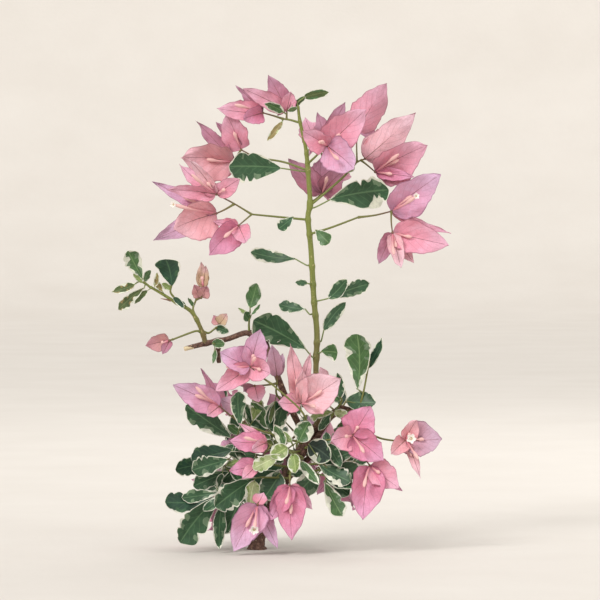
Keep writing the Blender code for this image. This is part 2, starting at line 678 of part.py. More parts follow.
LEAF_MASSES = [
    ("mass_left_upper", "trunk", 0.76, [(-28, -16, 104), (-62, -20, 112)], [
        ("lobed", (-74, -22, 114), (-118, -28, 146), 24),
        ("lobed", (-64, -46, 127), (-66, -54, 161), 15),
        ("lobed", (-52, -20, 130), (-46, -24, 153), 13),
        ("oval", (-30, -20, 120), (-28, -24, 150), 22),
        ("oval", (-66, -26, 118), (-77, -32, 127), 9),
    ]),
    ("mass_left_mid", "trunk", 0.64, [(-36, -28, 88), (-68, -34, 96)], [
        ("oval", (-50, -40, 98), (-70, -50, 102), 17),
        ("lobed", (-73, -34, 102), (-113, -42, 93), 23),
        ("lobed", (-76, -38, 93), (-112, -50, 83), 20),
        ("lobed", (-88, -30, 88), (-129, -34, 83), 19),
        ("lobed", (-76, -30, 80), (-111, -36, 66), 17),
        ("oval", (-60, -26, 84), (-84, -18, 70), 22),
    ]),
    ("mass_left_low", "trunk", 0.28, [(-62, -22, 44), (-82, -36, 56)], [
        ("lobed", (-86, -38, 60), (-122, -42, 55), 13),
        ("lobed", (-90, -40, 54), (-139, -44, 50), 20),
        ("lobed", (-87, -42, 55), (-124, -50, 11), 27),
        ("strap", (-86, -44, 54), (-101, -52, 43), 10),
        ("strap", (-83, -44, 46), (-84, -50, 5), 13),
        ("oval", (-66, -30, 50), (-80, -22, 18), 24),
    ]),
    ("mass_front_low", "trunk", 0.56, [(-16, -34, 74), (-44, -50, 76)], [
        ("lobed", (-50, -52, 75), (-88, -62, 47), 25),
        ("oval", (-50, -54, 72), (-54, -62, 49), 15),
        ("oval", (-25, -42, 79), (-42, -42, 54), 24),
    ]),
    ("mass_front_rosette", "trunk", 0.72, [(-2, -34, 94), (-18, -56, 104)], [
        ("lobed", (-24, -60, 99), (-51, -68, 86), 15),
        ("strap", (-21, -60, 108), (-30, -68, 129), 10),
        ("oval", (-6, -52, 112), (4, -58, 132), 19),
        ("oval", (-18, -60, 106), (-34, -52, 97), 17),
        ("oval", (-12, -60, 99), (-10, -70, 82), 13),
        ("strap", (-4, -56, 92), (14, -66, 71), 10),
        ("strap", (-14, -58, 112), (-26, -56, 123), 9),
    ]),
    ("mass_right_low", "trunk", 0.60, [(16, -30, 82), (22, -40, 84)], [
        ("oval", (4, -42, 108), (25, -50, 94), 24),
        ("lobed", (14, -42, 88), (45, -50, 72), 18),
        ("lobed", (20, -42, 70), (37, -48, 37), 17),
        ("strap", (24, -40, 108), (36, -46, 86), 13),
        ("oval", (12, -34, 78), (-8, -40, 54), 22),
        ("oval", (32, -34, 84), (66, -32, 74), 22),
    ]),
    ("mass_right_upper", "right_bough", 1.0, [(52, -20, 140), (58, -22, 158), (64, -22, 190)], [
        ("oval", (42, -22, 150), (70, -28, 150), 19),
        ("fan", (52, -22, 162), (51, -28, 217), 26),
        ("strap", (62, -20, 183), (77, -22, 213), 9),
    ]),
    ("mass_right_inner", "right_bough", 0.62, [(36, -20, 149), (35, -21, 154)], [
        ("strap", (35, -20, 155), (32, -24, 178), 11),
        ("strap", (30, -26, 140), (42, -40, 137), 9),
        ("oval", (34, -20, 150), (24, -20, 160), 10),
    ]),
]

# Masses grown by rule: name, carrier, share, middle, half sizes, how many twigs.
GROWN_MASSES = [
    ("mass_back_left_upper", "back_bough_left", 1.0, (-62, 46, 124), (46, 34, 40), 6),
    ("mass_back_left_low", "trunk", 0.24, (-66, 36, 50), (46, 40, 44), 7),
    ("mass_back_middle", "trunk", 0.74, (-8, 50, 112), (34, 36, 44), 6),
    ("mass_back_right_low", "trunk", 0.48, (30, 34, 88), (40, 34, 34), 6),
    ("mass_back_right_upper", "back_bough_right", 1.0, (34, 40, 134), (32, 34, 36), 6),
    ("mass_side_right", "trunk", 0.70, (42, -6, 90), (32, 22, 32), 5),
    ("mass_side_left", "trunk", 0.56, (-54, 2, 96), (36, 24, 36), 6),
]
HUB_RADIUS = 3.0
HUB_STEM_RADIUS = 1.8
GROWN_TWIG_RADIUS = 1.2
TWIG_REACH = (0.50, 0.62)  # of the way to the edge of the mass's space
TWIG_TRIES = 4
LEAF_SHARES = (0.5, 0.74, 1.0)  # where a grown twig bears its leaves
LEAF_KINDS = ("lobed", "oval", "lobed")
LEAF_LENGTH = (32.0, 44.0)
LEAF_WIDTH_SHARE = (0.46, 0.62)
GROWN_TURN = 50
GROWN_LEANS = (0.0, 0.2, -0.2)
SPACE_EDGE = 1.12  # how far a leaf's tip may pass the mass's space
BLOOM_EVERY = 3  # each such twig ends in a bloom instead of its last leaf
BRACTS_IN_BLOOM = 3
BRACT_LENGTH = (32.0, 40.0)
BRACT_WIDTH_SHARE = 0.72
BRACT_BOW = 0.14

# Extra leaves grown by rule inside the front masses, and the crown that they keep inside.
FILL_LEAVES = {
    "mass_left_upper": 3, "mass_left_mid": 2, "mass_left_low": 1, "mass_front_low": 1,
    "mass_front_rosette": 1, "mass_right_low": 2, "mass_right_upper": 1, "mass_right_inner": 1,
}
CROWN_MIDDLE = Vector((-12.0, -6.0, 84.0))
CROWN_HALF = (96.0, 74.0, 84.0)
FILL_TRIES = 6  # for each leaf
FILL_REACH = (6.0, 14.0)
FILL_LENGTH = (26.0, 39.0)
FILL_WIDTH_SHARE = 0.5


def stem_way(bush, carrier, share, way):
    return [*stem_root(bush.ways[carrier], share, way[0]), *[Vector(p) for p in way]]


def grow_shoot_leaves(bush):
    for name, share, petiole, blades in SHOOT_LEAVES:
        mass = Mass(bush, name, "leaf", stem_way(bush, "main_shoot", share, [petiole]), PETIOLE_RADIUS)
        for kind, tip, width, turn in blades:
            if not mass.add_blade(kind, petiole, tip, width, turn):
                mass.skip("blade", tip)
        mass.fuse()


def grow_spray(bush, name, finish, carrier, share, way, leaves, blooms):
    mass = Mass(bush, name, finish, stem_way(bush, carrier, share, way), SPRAY_STEM_RADIUS)
    for base, bracts, flowers in blooms:
        mass.bloom(base, bracts, flowers)
    for kind, root, tip, width in leaves:
        mass.leaf(kind, root, tip, width)
    return mass


def direction(turn, rise):
    return Vector((math.cos(turn) * math.cos(rise), math.sin(turn) * math.cos(rise), math.sin(rise)))


def inside(place, middle, half):
    return sum(((place[i] - middle[i]) / half[i]) ** 2 for i in range(3)) < 1.0


def grow_by_rule(bush, name, carrier, share, middle, half, twigs):
    """Twigs fan out from a hub by the golden angle, each with leaves in turn and some with a bloom."""
    middle = Vector(middle)
    mass = Mass(bush, name, "leaf", stem_way(bush, carrier, share, [middle]), HUB_STEM_RADIUS)
    mass.keep(knot_mesh(middle, HUB_RADIUS))
    for i in range(twigs):
        rise = math.asin(1 - 2 * (i + 0.5) / twigs)
        for _ in range(TWIG_TRIES):
            heading = direction(i * GOLDEN_ANGLE + mass.rng.uniform(-0.4, 0.4), rise)
            reach = Vector([a * b for a, b in zip(heading, half)]) * mass.rng.uniform(*TWIG_REACH)
            knee = middle + reach / 2 + FRONT * mass.rng.uniform(-3, 3)
            way = [middle + reach * 0.05, knee, middle + reach]
            if mass.keep_if_clear(twig_mesh(way, GROWN_TWIG_RADIUS, TWIG_TIP_RADIUS)):
                dress_twig(mass, way, i % BLOOM_EVERY == 1, middle, half)
                break
    return mass


def dress_twig(mass, way, blooms, middle, half):
    """Leaves in turn along a twig, inside the mass's space, and a leaf or a bloom at its end."""
    rng = mass.rng
    out = (way[2] - way[0]).normalized()
    side = out.cross(UP).normalized()
    space = [h * SPACE_EDGE for h in half]
    for k, share in enumerate(LEAF_SHARES):
        at_end = share == 1.0
        if at_end and blooms:
            grow_bloom(mass, way[2], out)
            continue
        root = way[1].lerp(way[2], share * 2 - 1)
        spread = Matrix.Rotation(k * GOLDEN_ANGLE + rng.uniform(0, 0.8), 3, out) @ side
        heading = (out + spread * 0.3 if at_end else out * 0.55 + spread).normalized()
        tip = root + heading * rng.uniform(*LEAF_LENGTH)
        if inside(tip, middle, space):
            width = (tip - root).length * rng.uniform(*LEAF_WIDTH_SHARE)
            turn = rng.uniform(-GROWN_TURN, GROWN_TURN)
            seen_width = width * math.cos(math.radians(turn))
            mass.add_blade(LEAF_KINDS[k], root, tip, seen_width, turn, leans=GROWN_LEANS)


def grow_bloom(mass, base, out):
    """Bracts that open round the way the twig points."""
    if not mass.keep_if_clear(knot_mesh(base)):
        return
    side = out.cross(UP).normalized()
    start = mass.rng.uniform(0, math.tau)
    for k in range(BRACTS_IN_BLOOM):
        spread = Matrix.Rotation(start + k * math.tau / BRACTS_IN_BLOOM, 3, out) @ side
        length = mass.rng.uniform(*BRACT_LENGTH)
        tip = base + (out * 0.75 + spread).normalized() * length
        width = length * BRACT_WIDTH_SHARE
        mass.keep_if_clear(blade_mesh("heart", base, tip, width, out, BRACT_BOW, BRACT_SINK))


def fill(mass, leaves):
    """Adds leaves on short twigs from the mass's own wood, inside the crown."""
    rng = mass.rng
    for _ in range(leaves * FILL_TRIES):
        start = rng.choice(mass.wood)
        any_way = direction(rng.uniform(0, math.tau), rng.uniform(-1, 1))
        heading = ((start - CROWN_MIDDLE).normalized() + any_way).normalized()
        root = start + heading * rng.uniform(*FILL_REACH)
        tip = root + heading * rng.uniform(*FILL_LENGTH)
        radius = TWIG_RADIUS * rng.uniform(*TWIG_VARIES)
        twig = twig_mesh(twig_ends(start, root), radius, TWIG_TIP_RADIUS)
        width = (tip - root).length * FILL_WIDTH_SHARE
        facing = facing_near(heading, rng.uniform(-GROWN_TURN, GROWN_TURN))
        blade = blade_mesh("oval", root, tip, width, facing)
        clear = all(mass.bush.is_clear(mass.name, bm) for bm in (twig, blade))
        if clear and inside(tip, CROWN_MIDDLE, CROWN_HALF):
            mass.keep(twig)
            mass.keep(blade)
            leaves -= 1
        if leaves == 0:
            return


def main():
    for obj in list(bpy.data.objects):
        bpy.data.objects.remove(obj, do_unlink=True)
    bush = Bush()
    for name in LIMBS:
        make_limb(name, bush)
    grow_shoot_leaves(bush)
    masses = [grow_spray(bush, *row) for row in SPRAYS]
    leafy = [grow_spray(bush, name, "leaf", *row, []) for name, *row in LEAF_MASSES]
    grown = [grow_by_rule(bush, *row) for row in GROWN_MASSES]
    for mass in leafy:
        fill(mass, FILL_LEAVES[mass.name])
    for mass in masses + leafy + grown:
        mass.fuse()
    for line in bush.skipped:
        print("left out:", line)


main()
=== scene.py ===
"""The looks of a small bougainvillea bush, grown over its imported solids.

The stems, leaves and blooms stand where the solids have them: the same rows and the same seeded
rule place them, and the rule then goes on to finer twigs, young leaves, flowers and veins.

Sizes are in millimetres and become metres where a mesh is finished. X runs to the right, Y away
from the front and Z up.
"""

import math
import random
from collections import namedtuple

import bmesh
import bpy
from mathutils import Matrix, Vector, noise
from mathutils.bvhtree import BVHTree


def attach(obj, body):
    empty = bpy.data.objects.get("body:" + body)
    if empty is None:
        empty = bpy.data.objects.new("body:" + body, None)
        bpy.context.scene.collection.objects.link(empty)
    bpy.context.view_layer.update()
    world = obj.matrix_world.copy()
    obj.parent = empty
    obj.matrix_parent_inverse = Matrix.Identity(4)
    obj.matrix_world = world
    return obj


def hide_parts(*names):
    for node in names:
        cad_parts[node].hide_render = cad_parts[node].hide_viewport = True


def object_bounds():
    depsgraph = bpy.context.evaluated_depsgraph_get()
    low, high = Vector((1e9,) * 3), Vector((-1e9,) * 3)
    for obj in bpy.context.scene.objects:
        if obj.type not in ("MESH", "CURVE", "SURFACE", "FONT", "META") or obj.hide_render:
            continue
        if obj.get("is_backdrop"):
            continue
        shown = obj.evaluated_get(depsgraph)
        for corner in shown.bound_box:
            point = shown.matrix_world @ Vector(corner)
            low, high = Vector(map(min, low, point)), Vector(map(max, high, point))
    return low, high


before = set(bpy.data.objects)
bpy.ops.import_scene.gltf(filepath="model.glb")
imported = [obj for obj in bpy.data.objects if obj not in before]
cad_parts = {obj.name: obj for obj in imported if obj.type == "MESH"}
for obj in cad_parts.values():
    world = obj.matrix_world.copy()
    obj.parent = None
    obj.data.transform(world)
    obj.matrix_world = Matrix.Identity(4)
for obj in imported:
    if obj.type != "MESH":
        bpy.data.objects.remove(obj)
solid_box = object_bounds()

MM = 0.001
UP = Vector((0.0, 0.0, 1.0))
FRONT = Vector((0.0, -1.0, 0.0))
GOLDEN_ANGLE = math.radians(137.5)

# Where the stem meets the ground, as the rows below measure it. The finished pieces are moved so
# that this place is the origin.
FOOT = Vector((-48.0, 0.0, 0.0))

# ---------------------------------------------------------------- the rule that the solids follow

GAP = 0.3  # between a stem and the limb that carries it
CLEARANCE = 0.35  # kept between any two solids
GROUND_CLEARANCE = 1.0
STEM_COLLAR = 3.0  # a stem leaves its limb square for this far
WELD = 0.01
BOX_MARGIN = 1.0  # boxes further apart than this aren't compared more closely
SOLID_STEPS = 2  # places to a span of a limb or a stem
HEAD_ON = 0.9  # a blade that points to the front more than this faces up instead

STEM_SIDES = 4
STEM_TAPER = 0.7
TWIG_SIDES = 3
TWIG_RADIUS = 1.0
TWIG_VARIES = (0.9, 1.15)
TWIG_TIP_RADIUS = 0.7
TWIG_SINK = 0.4
TWIG_OVERRUN = 1.0
SAME_PLACE = 1.5  # wood nearer than this needs no twig
NEAREST_WOOD = 6  # how many places a twig may start from
BENDS = (0.08, -0.08, 0.16, -0.16)  # of a twig's length, tried in turn to clear a neighbour

BLADE_THICKNESS = 0.03  # of a blade's length
BLADE_SIDES = 8
SMALL_BLADE_SIDES = 6
SMALL_BLADE = 26.0  # a shorter blade has fewer sides
# How far each ball is turned, by its sides, so that a blade has a point at its root and its tip.
POINTED = {8: Matrix(), 6: Matrix.Rotation(math.radians(30), 4, "Z")}
LEAF_BOW = 0.10  # of its length
LEAF_SINK = 0.7  # how far a leaf's root runs back into its twig
LEAF_TURN = 32  # degrees either way that a leaf may turn about its length
LEANS = (0.0, 0.14, -0.14, 0.28, -0.28, 0.42, -0.42)  # of a blade's length, tried like the bends

KNOT_RADIUS = 2.1
BRACT_SINK = -0.5  # bracts start apart from each other, inside their knot
BRACT_TURN = 22
TUBE_RADII = (0.8, 1.3)  # of a flower, at its foot and at its mouth
TUBE_START = 0.03

# A blade's half width at places round its rim from root to tip, as a share of the greatest.
OUTLINES = {
    "oval": (0.0, 0.72, 1.0, 0.62, 0.0),
    "heart": (0.0, 0.94, 1.0, 0.58, 0.0),
    "lobed": (0.0, 0.55, 0.86, 1.0, 0.0),
    "fan": (0.0, 0.30, 0.75, 1.0, 0.35),
    "strap": (0.0, 0.80, 1.0, 0.75, 0.0),
}

# Each limb: its finish and its way, as x, y, z and radius. The first place of a carried limb stands
# for its fork, and is worked out from its carrier. The numbers after the finish are the sides of
# the solid and of the finished skin.
LIMBS = {
    "trunk": ("bark", 8, 30, [
        (-48, 0, 0, 9.5), (-48, 0, 4, 7.4), (-45, 0, 14, 5.8), (-36, 1, 38, 5.0),
        (-17, 2, 76, 4.7), (1, 1, 106, 4.5), (12, 0, 124, 4.2),
    ]),
    "main_shoot": ("green_stem", 6, 20, [
        (12, 0, 124, 3.6), (14, 1, 140, 3.0), (11, 2, 176, 2.8), (12, 3, 215, 2.9),
        (9, 2, 250, 2.8), (6, 0, 300, 2.7), (3, -2, 332, 2.6), (5, -2, 345, 2.5),
        (4, -2, 365, 2.4), (1, 0, 400, 1.9), (-5, 1, 428, 1.6), (-7, 1, 444, 1.3),
    ]),
    "left_bough": ("bark", 6, 20, [
        (-1, 0, 118, 3.4), (-18, -2, 150, 3.3), (-33, -2, 188, 3.1), (-43, 0, 219, 2.9),
    ]),
    "left_arm": ("bark", 6, 20, [
        (-46, 0, 218, 2.8), (-59, 0, 217, 2.8), (-78, -1, 211, 2.6), (-98, -2, 207, 2.5),
        (-121, -3, 201, 2.3),
    ]),
    "left_shoot": ("green_stem", 6, 16, [
        (-101, -2, 209, 2.3), (-103, -3, 219, 2.2), (-113, -6, 238, 2.0),
        (-129, -10, 248, 1.7), (-143, -14, 257, 1.5), (-155, -17, 264, 1.2),
    ]),
    "left_snag": ("bark", 6, 16, [(-87, -2, 206, 2.4), (-87, -2, 199, 2.4), (-86, -2, 187, 2.3)]),
    "right_bough": ("bark", 6, 16, [
        (14, -2, 116, 2.6), (24, -8, 130, 2.4), (34, -14, 143, 2.1), (46, -18, 141, 1.7),
    ]),
    "back_bough_left": ("bark", 6, 16, [
        (4, 2, 70, 2.8), (-14, 18, 88, 2.5), (-34, 30, 104, 2.1), (-46, 36, 112, 1.7),
    ]),
    "back_bough_right": ("bark", 6, 16, [
        (9, 2, 92, 2.8), (24, 18, 104, 2.4), (38, 30, 114, 2.0), (46, 35, 118, 1.7),
    ]),
}

# What carries each limb, and how far along that it starts (1 is the carrier's tip).
FORKS = {
    "main_shoot": ("trunk", 1.0),
    "left_bough": ("trunk", 0.90),
    "left_arm": ("left_bough", 0.96),
    "left_shoot": ("left_arm", 0.72),
    "left_snag": ("left_arm", 0.56),
    "right_bough": ("trunk", 0.86),
    "back_bough_left": ("trunk", 0.52),
    "back_bough_right": ("trunk", 0.70),
}


def bend_through(a, b, c, d, t):
    """What lies at a share t of the way from b to c, on a smooth curve that a and d bend."""
    return 0.5 * (2 * b + (c - a) * t + (2 * a - 5 * b + 4 * c - d) * t * t
                  + (3 * b - a - 3 * c + d) * t ** 3)


def spline(points, steps):
    """A smooth way through the points, steps places to a span. A point may hold a radius too."""
    vectors = [Vector(p) for p in points]
    padded = [2 * vectors[0] - vectors[1], *vectors, 2 * vectors[-1] - vectors[-2]]
    way = []
    for i in range(len(vectors) - 1):
        way += [bend_through(*padded[i : i + 4], k / steps) for k in range(steps)]
    return [*way, vectors[-1]]


def point_on(points, share):
    """The place, radius and direction at a share of the length of a limb."""
    places = [Vector(p[:3]) for p in points]
    spans = [(b - a).length for a, b in zip(places, places[1:])]
    left = share * sum(spans)
    for i, span in enumerate(spans):
        if left <= span or i == len(spans) - 1:
            t = min(left / span, 1.0)
            radius = points[i][3] * (1 - t) + points[i + 1][3] * t
            return places[i].lerp(places[i + 1], t), radius, (places[i + 1] - places[i]).normalized()
        left -= span


def stem_root(way, share, toward):
    """Two places that start a stem, GAP clear of a limb: square to its side, or in line at its tip."""
    place, radius, along = point_on(way, share)
    if share == 1.0:
        return [place + along * GAP, place + along * (GAP + STEM_COLLAR)]
    out = square_to(Vector(toward) - place, along)
    return [place + out * (radius + GAP), place + out * (radius + GAP + STEM_COLLAR)]


def new_object(name, data):
    """An object in the scene that shows the data."""
    made = bpy.data.objects.new(name, data)
    bpy.context.scene.collection.objects.link(made)
    return made


def mesh_seen(thing):
    """The mesh that an object's curve or modifiers come to."""
    bpy.context.view_layer.update()
    seen = thing.evaluated_get(bpy.context.evaluated_depsgraph_get())
    return bpy.data.meshes.new_from_object(seen)


def limb_solid(name, way, sides):
    """A limb's plain tube, as its solid has it: a curve with a radius at each point."""
    curve = bpy.data.curves.new(name, "CURVE")
    curve.dimensions = "3D"
    curve.bevel_depth = 1.0
    curve.bevel_resolution = (sides - 4) // 2
    curve.use_fill_caps = True
    line = curve.splines.new("POLY")
    line.points.add(len(way) - 1)
    for point, place in zip(line.points, way):
        point.co = (*place[:3], 1.0)
        point.radius = place[3]
    bent = new_object(name, curve)
    mesh = mesh_seen(bent)
    bpy.data.objects.remove(bent)
    bm = bmesh.new()
    bm.from_mesh(mesh)
    bpy.data.meshes.remove(mesh)
    bmesh.ops.remove_doubles(bm, verts=bm.verts[:], dist=WELD)
    bmesh.ops.recalc_face_normals(bm, faces=bm.faces[:])
    return bm


def rings_along(way):
    """A turn for each place of a way, carried on from ring to ring without twisting."""
    last = len(way) - 1
    turn = (way[1] - way[0]).to_track_quat("Z", "X")
    turns = []
    for i in range(last + 1):
        ahead = (way[min(i + 1, last)] - way[max(i - 1, 0)]).normalized()
        turn = (turn @ UP).rotation_difference(ahead) @ turn
        turns.append(turn.copy())
    return turns


def twig_solid(points, start_radius, end_radius, sides=TWIG_SIDES):
    """A twig's plain tube, as its solid has it, drawn out ring by ring from a capped circle."""
    ways = [Vector(p) for p in points]
    stations = []
    for i, (place, turn) in enumerate(zip(ways, rings_along(ways))):
        radius = start_radius + (end_radius - start_radius) * i / (len(ways) - 1)
        stations.append(Matrix.LocRotScale(place, turn, Vector((radius,) * 3)))
    bm = bmesh.new()
    bmesh.ops.create_circle(bm, cap_ends=True, segments=sides, radius=1.0, matrix=stations[0])
    caps = bm.faces[:]
    for before, after in zip(stations, stations[1:]):
        drawn = bmesh.ops.extrude_face_region(bm, geom=caps[-1:])["geom"]
        ring = [g for g in drawn if isinstance(g, bmesh.types.BMVert)]
        caps += [g for g in drawn if isinstance(g, bmesh.types.BMFace)]
        bmesh.ops.transform(bm, matrix=after @ before.inverted(), verts=ring)
    bmesh.ops.delete(bm, geom=caps[1:-1], context="FACES_ONLY")
    bmesh.ops.recalc_face_normals(bm, faces=bm.faces[:])
    return bm


def square_to(vector, axis):
    """The part of a vector that is square to an axis, made one long."""
    return (vector - axis * vector.dot(axis)).normalized()


def facing_near(axis, turn):
    """The way a blade faces: to the front, turned about its own axis by some degrees."""
    front = FRONT if abs(FRONT.dot(axis)) < HEAD_ON else UP
    return Matrix.Rotation(math.radians(turn), 3, axis) @ square_to(front, axis)


def half_width_at(kind, share):
    """A blade's half width at a share of the way round its rim, as a share of the greatest."""
    widths = OUTLINES[kind]
    place = share * (len(widths) - 1)
    i = min(int(place), len(widths) - 2)
    return widths[i] + (widths[i + 1] - widths[i]) * (place - i)


class Blade:
    """Where a leaf or a bract lies: its spine, its width and the way it faces."""

    def __init__(self, kind, root, tip, width, facing, bow, sink):
        root = Vector(root)
        self.kind = kind
        self.along = (Vector(tip) - root).normalized()
        self.root = root - self.along * sink
        self.length = (Vector(tip) - self.root).length
        self.width = width
        self.normal = square_to(facing, self.along)
        self.side = self.normal.cross(self.along)
        self.bow = bow
        self.tone = None

    def spine(self, share):
        """The place on the blade's bowed middle line at a share of its length."""
        depth = 4 * share * (1 - share) * self.bow * self.length
        return self.root + self.along * share * self.length - self.normal * depth

    def solid(self):
        """The blade's plain solid: a flat double cone whose rim follows the outline."""
        sides = BLADE_SIDES if self.length > SMALL_BLADE else SMALL_BLADE_SIDES
        bm = bmesh.new()
        bmesh.ops.create_uvsphere(bm, u_segments=sides, v_segments=2, radius=1.0, matrix=POINTED[sides])
        for vert in bm.verts:
            x, y, z = vert.co
            round_rim = math.acos(max(-1.0, min(1.0, -x))) / math.pi
            half = half_width_at(self.kind, round_rim) if abs(z) < 0.5 else 0.0
            lift = z * BLADE_THICKNESS * self.length / 2
            across = math.copysign(half, y) * self.width / 2
            vert.co = self.spine((1 + x) / 2) + self.side * across + self.normal * lift
        return bm


def knot_solid(place, radius=KNOT_RADIUS):
    """The plain knot that a bloom's bracts or a hub's twigs start from."""
    bm = bmesh.new()
    bmesh.ops.create_uvsphere(bm, u_segments=4, v_segments=2, radius=radius)
    bmesh.ops.translate(bm, vec=Vector(place), verts=bm.verts[:])
    return bm


def swollen_tree(bm, by):
    """A search tree of the mesh with every point moved out by so much."""
    bm.normal_update()
    places = [v.co + v.normal * by for v in bm.verts]
    bm.verts.index_update()
    return BVHTree.FromPolygons(places, [[v.index for v in f.verts] for f in bm.faces])


def box_of(bm):
    """The lowest and the highest corner of the box round a mesh."""
    places = [v.co for v in bm.verts]
    low = Vector([min(p[i] for p in places) for i in range(3)])
    high = Vector([max(p[i] for p in places) for i in range(3)])
    return low, high


class Bush:
    """The ways of the limbs, and what each solid occupies."""

    def __init__(self):
        self.taken = []
        self.ways = {}
        self.masses = {}

    def limb_way(self, name, steps=SOLID_STEPS):
        """A limb's smooth way with its radii. A carried limb starts square to its carrier's side."""
        first, *rest = [Vector(p) for p in LIMBS[name][3]]
        if name in FORKS:
            carrier, share = FORKS[name]
            collar = stem_root(self.ways[carrier], share, rest[0].to_3d())
            start, knee = [Vector((*place, first[3])) for place in collar]
        else:
            start, knee = first, rest.pop(0)
        return [start, *spline([knee, *rest], steps)]

    def lay_limb(self, name):
        self.ways[name] = self.limb_way(name)
        self.take(name, limb_solid(name, self.ways[name], LIMBS[name][1]))

    def is_clear(self, name, bm):
        """True where the mesh stays clear of every solid but its own, and above the ground."""
        low, high = box_of(bm)
        if low.z < GROUND_CLEARANCE:
            return False
        tree = None
        for owner, other_low, other_high, other in self.taken:
            if owner == name:
                continue
            if any(max(low[i] - other_high[i], other_low[i] - high[i]) > BOX_MARGIN for i in range(3)):
                continue
            tree = tree or swollen_tree(bm, CLEARANCE)
            if tree.overlap(other):
                return False
        return True

    def take(self, name, bm):
        """Notes what a solid occupies. The plain mesh has then done its work."""
        self.taken.append((name, *box_of(bm), swollen_tree(bm, 0.0)))
        bm.free()


def twig_ends(start, root):
    """The two ends of a twig, sunk into the wood that it leaves and into what it bears."""
    along = (root - start).normalized()
    return [start - along * TWIG_SINK, root + along * TWIG_OVERRUN]


def bent_ways(start, root):
    """Ways for a twig: straight, then bent more and more to each side."""
    reach = root - start
    ends = twig_ends(start, root)
    yield ends
    for bend in BENDS:
        for side in (FRONT, UP):
            yield [ends[0], start + reach * 0.5 + side * reach.length * bend, ends[1]]


Twig = namedtuple("Twig", "way start_radius end_radius bears")
Bloom = namedtuple("Bloom", "centre bracts flowers")


class Mass:
    """Twigs, leaves and blooms that grow from one stem, noted as the rule lays them."""

    def __init__(self, bush, name, stem, radius):
        self.bush = bush
        self.name = name
        self.rng = random.Random(name)
        self.stem = stem
        self.stem_radius = radius
        self.twigs = []
        self.leaves = []
        self.blooms = []
        bush.masses[name] = self
        way = [Vector(stem[0]), *spline(stem[1:], SOLID_STEPS)]
        end_radius = max(radius * STEM_TAPER, TWIG_TIP_RADIUS)
        bush.take(name, twig_solid(way, radius, end_radius, STEM_SIDES))
        self.wood = way[2:] or way[1:]

    def keep_if_clear(self, bm):
        """Notes the solid as taken if nothing is in its way, and says whether that was so."""
        clear = self.bush.is_clear(self.name, bm)
        if clear:
            self.bush.take(self.name, bm)
        else:
            bm.free()
        return clear

    def lay_twig(self, root, bears):
        """A twig to the place from the nearest wood already laid, or None where it finds no room."""
        root = Vector(root)
        near = sorted(self.wood, key=lambda place: (place - root).length)
        if (near[0] - root).length < SAME_PLACE:
            return near[0]
        radius = TWIG_RADIUS * self.rng.uniform(*TWIG_VARIES)
        for start in near[:NEAREST_WOOD]:
            for way in bent_ways(start, root):
                if self.keep_if_clear(twig_solid(way, radius, TWIG_TIP_RADIUS)):
                    self.twigs.append(Twig(way, radius, TWIG_TIP_RADIUS, bears))
                    self.wood += [way[0].lerp(way[-1], 0.5), root]
                    return root
        return None

    def add_blade(self, kind, root, tip, width, turn, sink=LEAF_SINK, leans=LEANS):
        """A blade from the root, leaned a little forward or back where something is in its way."""
        root = Vector(root)
        tip = Vector(tip)
        reach = (tip - root).length
        facing = facing_near((tip - root).normalized(), turn)
        seen_width = width / math.cos(math.radians(turn))
        for lean in leans:
            blade = Blade(kind, root, tip - FRONT * reach * lean, seen_width, facing, LEAF_BOW, sink)
            if self.keep_if_clear(blade.solid()):
                return blade
        return None

    def keep_leaf(self, blade, tone):
        if blade:
            blade.tone = tone
            self.leaves.append(blade)

    def leaf(self, kind, root, tip, width, tone="dark"):
        turn = self.rng.uniform(-LEAF_TURN, LEAF_TURN)
        reached = self.lay_twig(root, "leaf")
        if reached is not None:
            self.keep_leaf(self.add_blade(kind, reached, tip, width, turn), tone)

    def bloom(self, base, bracts, flowers):
        """Bracts from one knot, with slender flowers among them."""
        reached = self.lay_twig(base, "bloom")
        if reached is None or not self.keep_if_clear(knot_solid(reached)):
            return
        kept = []
        for *tip, width, tone in bracts:
            turn = self.rng.uniform(-BRACT_TURN, BRACT_TURN)
            blade = self.add_blade("heart", reached, tip, width, turn, BRACT_SINK)
            if blade:
                blade.tone = tone
                kept.append(blade)
        for *tip, _ in flowers:
            start = reached.lerp(Vector(tip), TUBE_START)
            self.keep_if_clear(twig_solid([start, Vector(tip)], *TUBE_RADII))
        self.blooms.append(Bloom(reached, kept, flowers))


def stem_way(bush, carrier, share, way):
    """The whole way of a stem, from the limb that carries it."""
    return [*stem_root(bush.ways[carrier], share, way[0]), *[Vector(p) for p in way]]


def grow_shoot_leaves(bush):
    for name, share, petiole, blades in SHOOT_LEAVES:
        mass = Mass(bush, name, stem_way(bush, "main_shoot", share, [petiole]), PETIOLE_RADIUS)
        for kind, tip, width, turn, tone in blades:
            mass.keep_leaf(mass.add_blade(kind, petiole, tip, width, turn), tone)


def grow_spray(bush, name, carrier, share, way, leaves, blooms=()):
    """A mass from its row: its blooms first, then its leaves."""
    mass = Mass(bush, name, stem_way(bush, carrier, share, way), SPRAY_STEM_RADIUS)
    for base, bracts, flowers in blooms:
        mass.bloom(base, bracts, flowers)
    for row in leaves:
        mass.leaf(*row)


def direction(turn, rise):
    """The way that points so far round from X and so far up, both in radians."""
    return Vector((math.cos(turn) * math.cos(rise), math.sin(turn) * math.cos(rise), math.sin(rise)))


def inside(place, middle, half):
    """True within a ball that has these half sizes along X, Y and Z."""
    return sum(((place[i] - middle[i]) / half[i]) ** 2 for i in range(3)) < 1.0


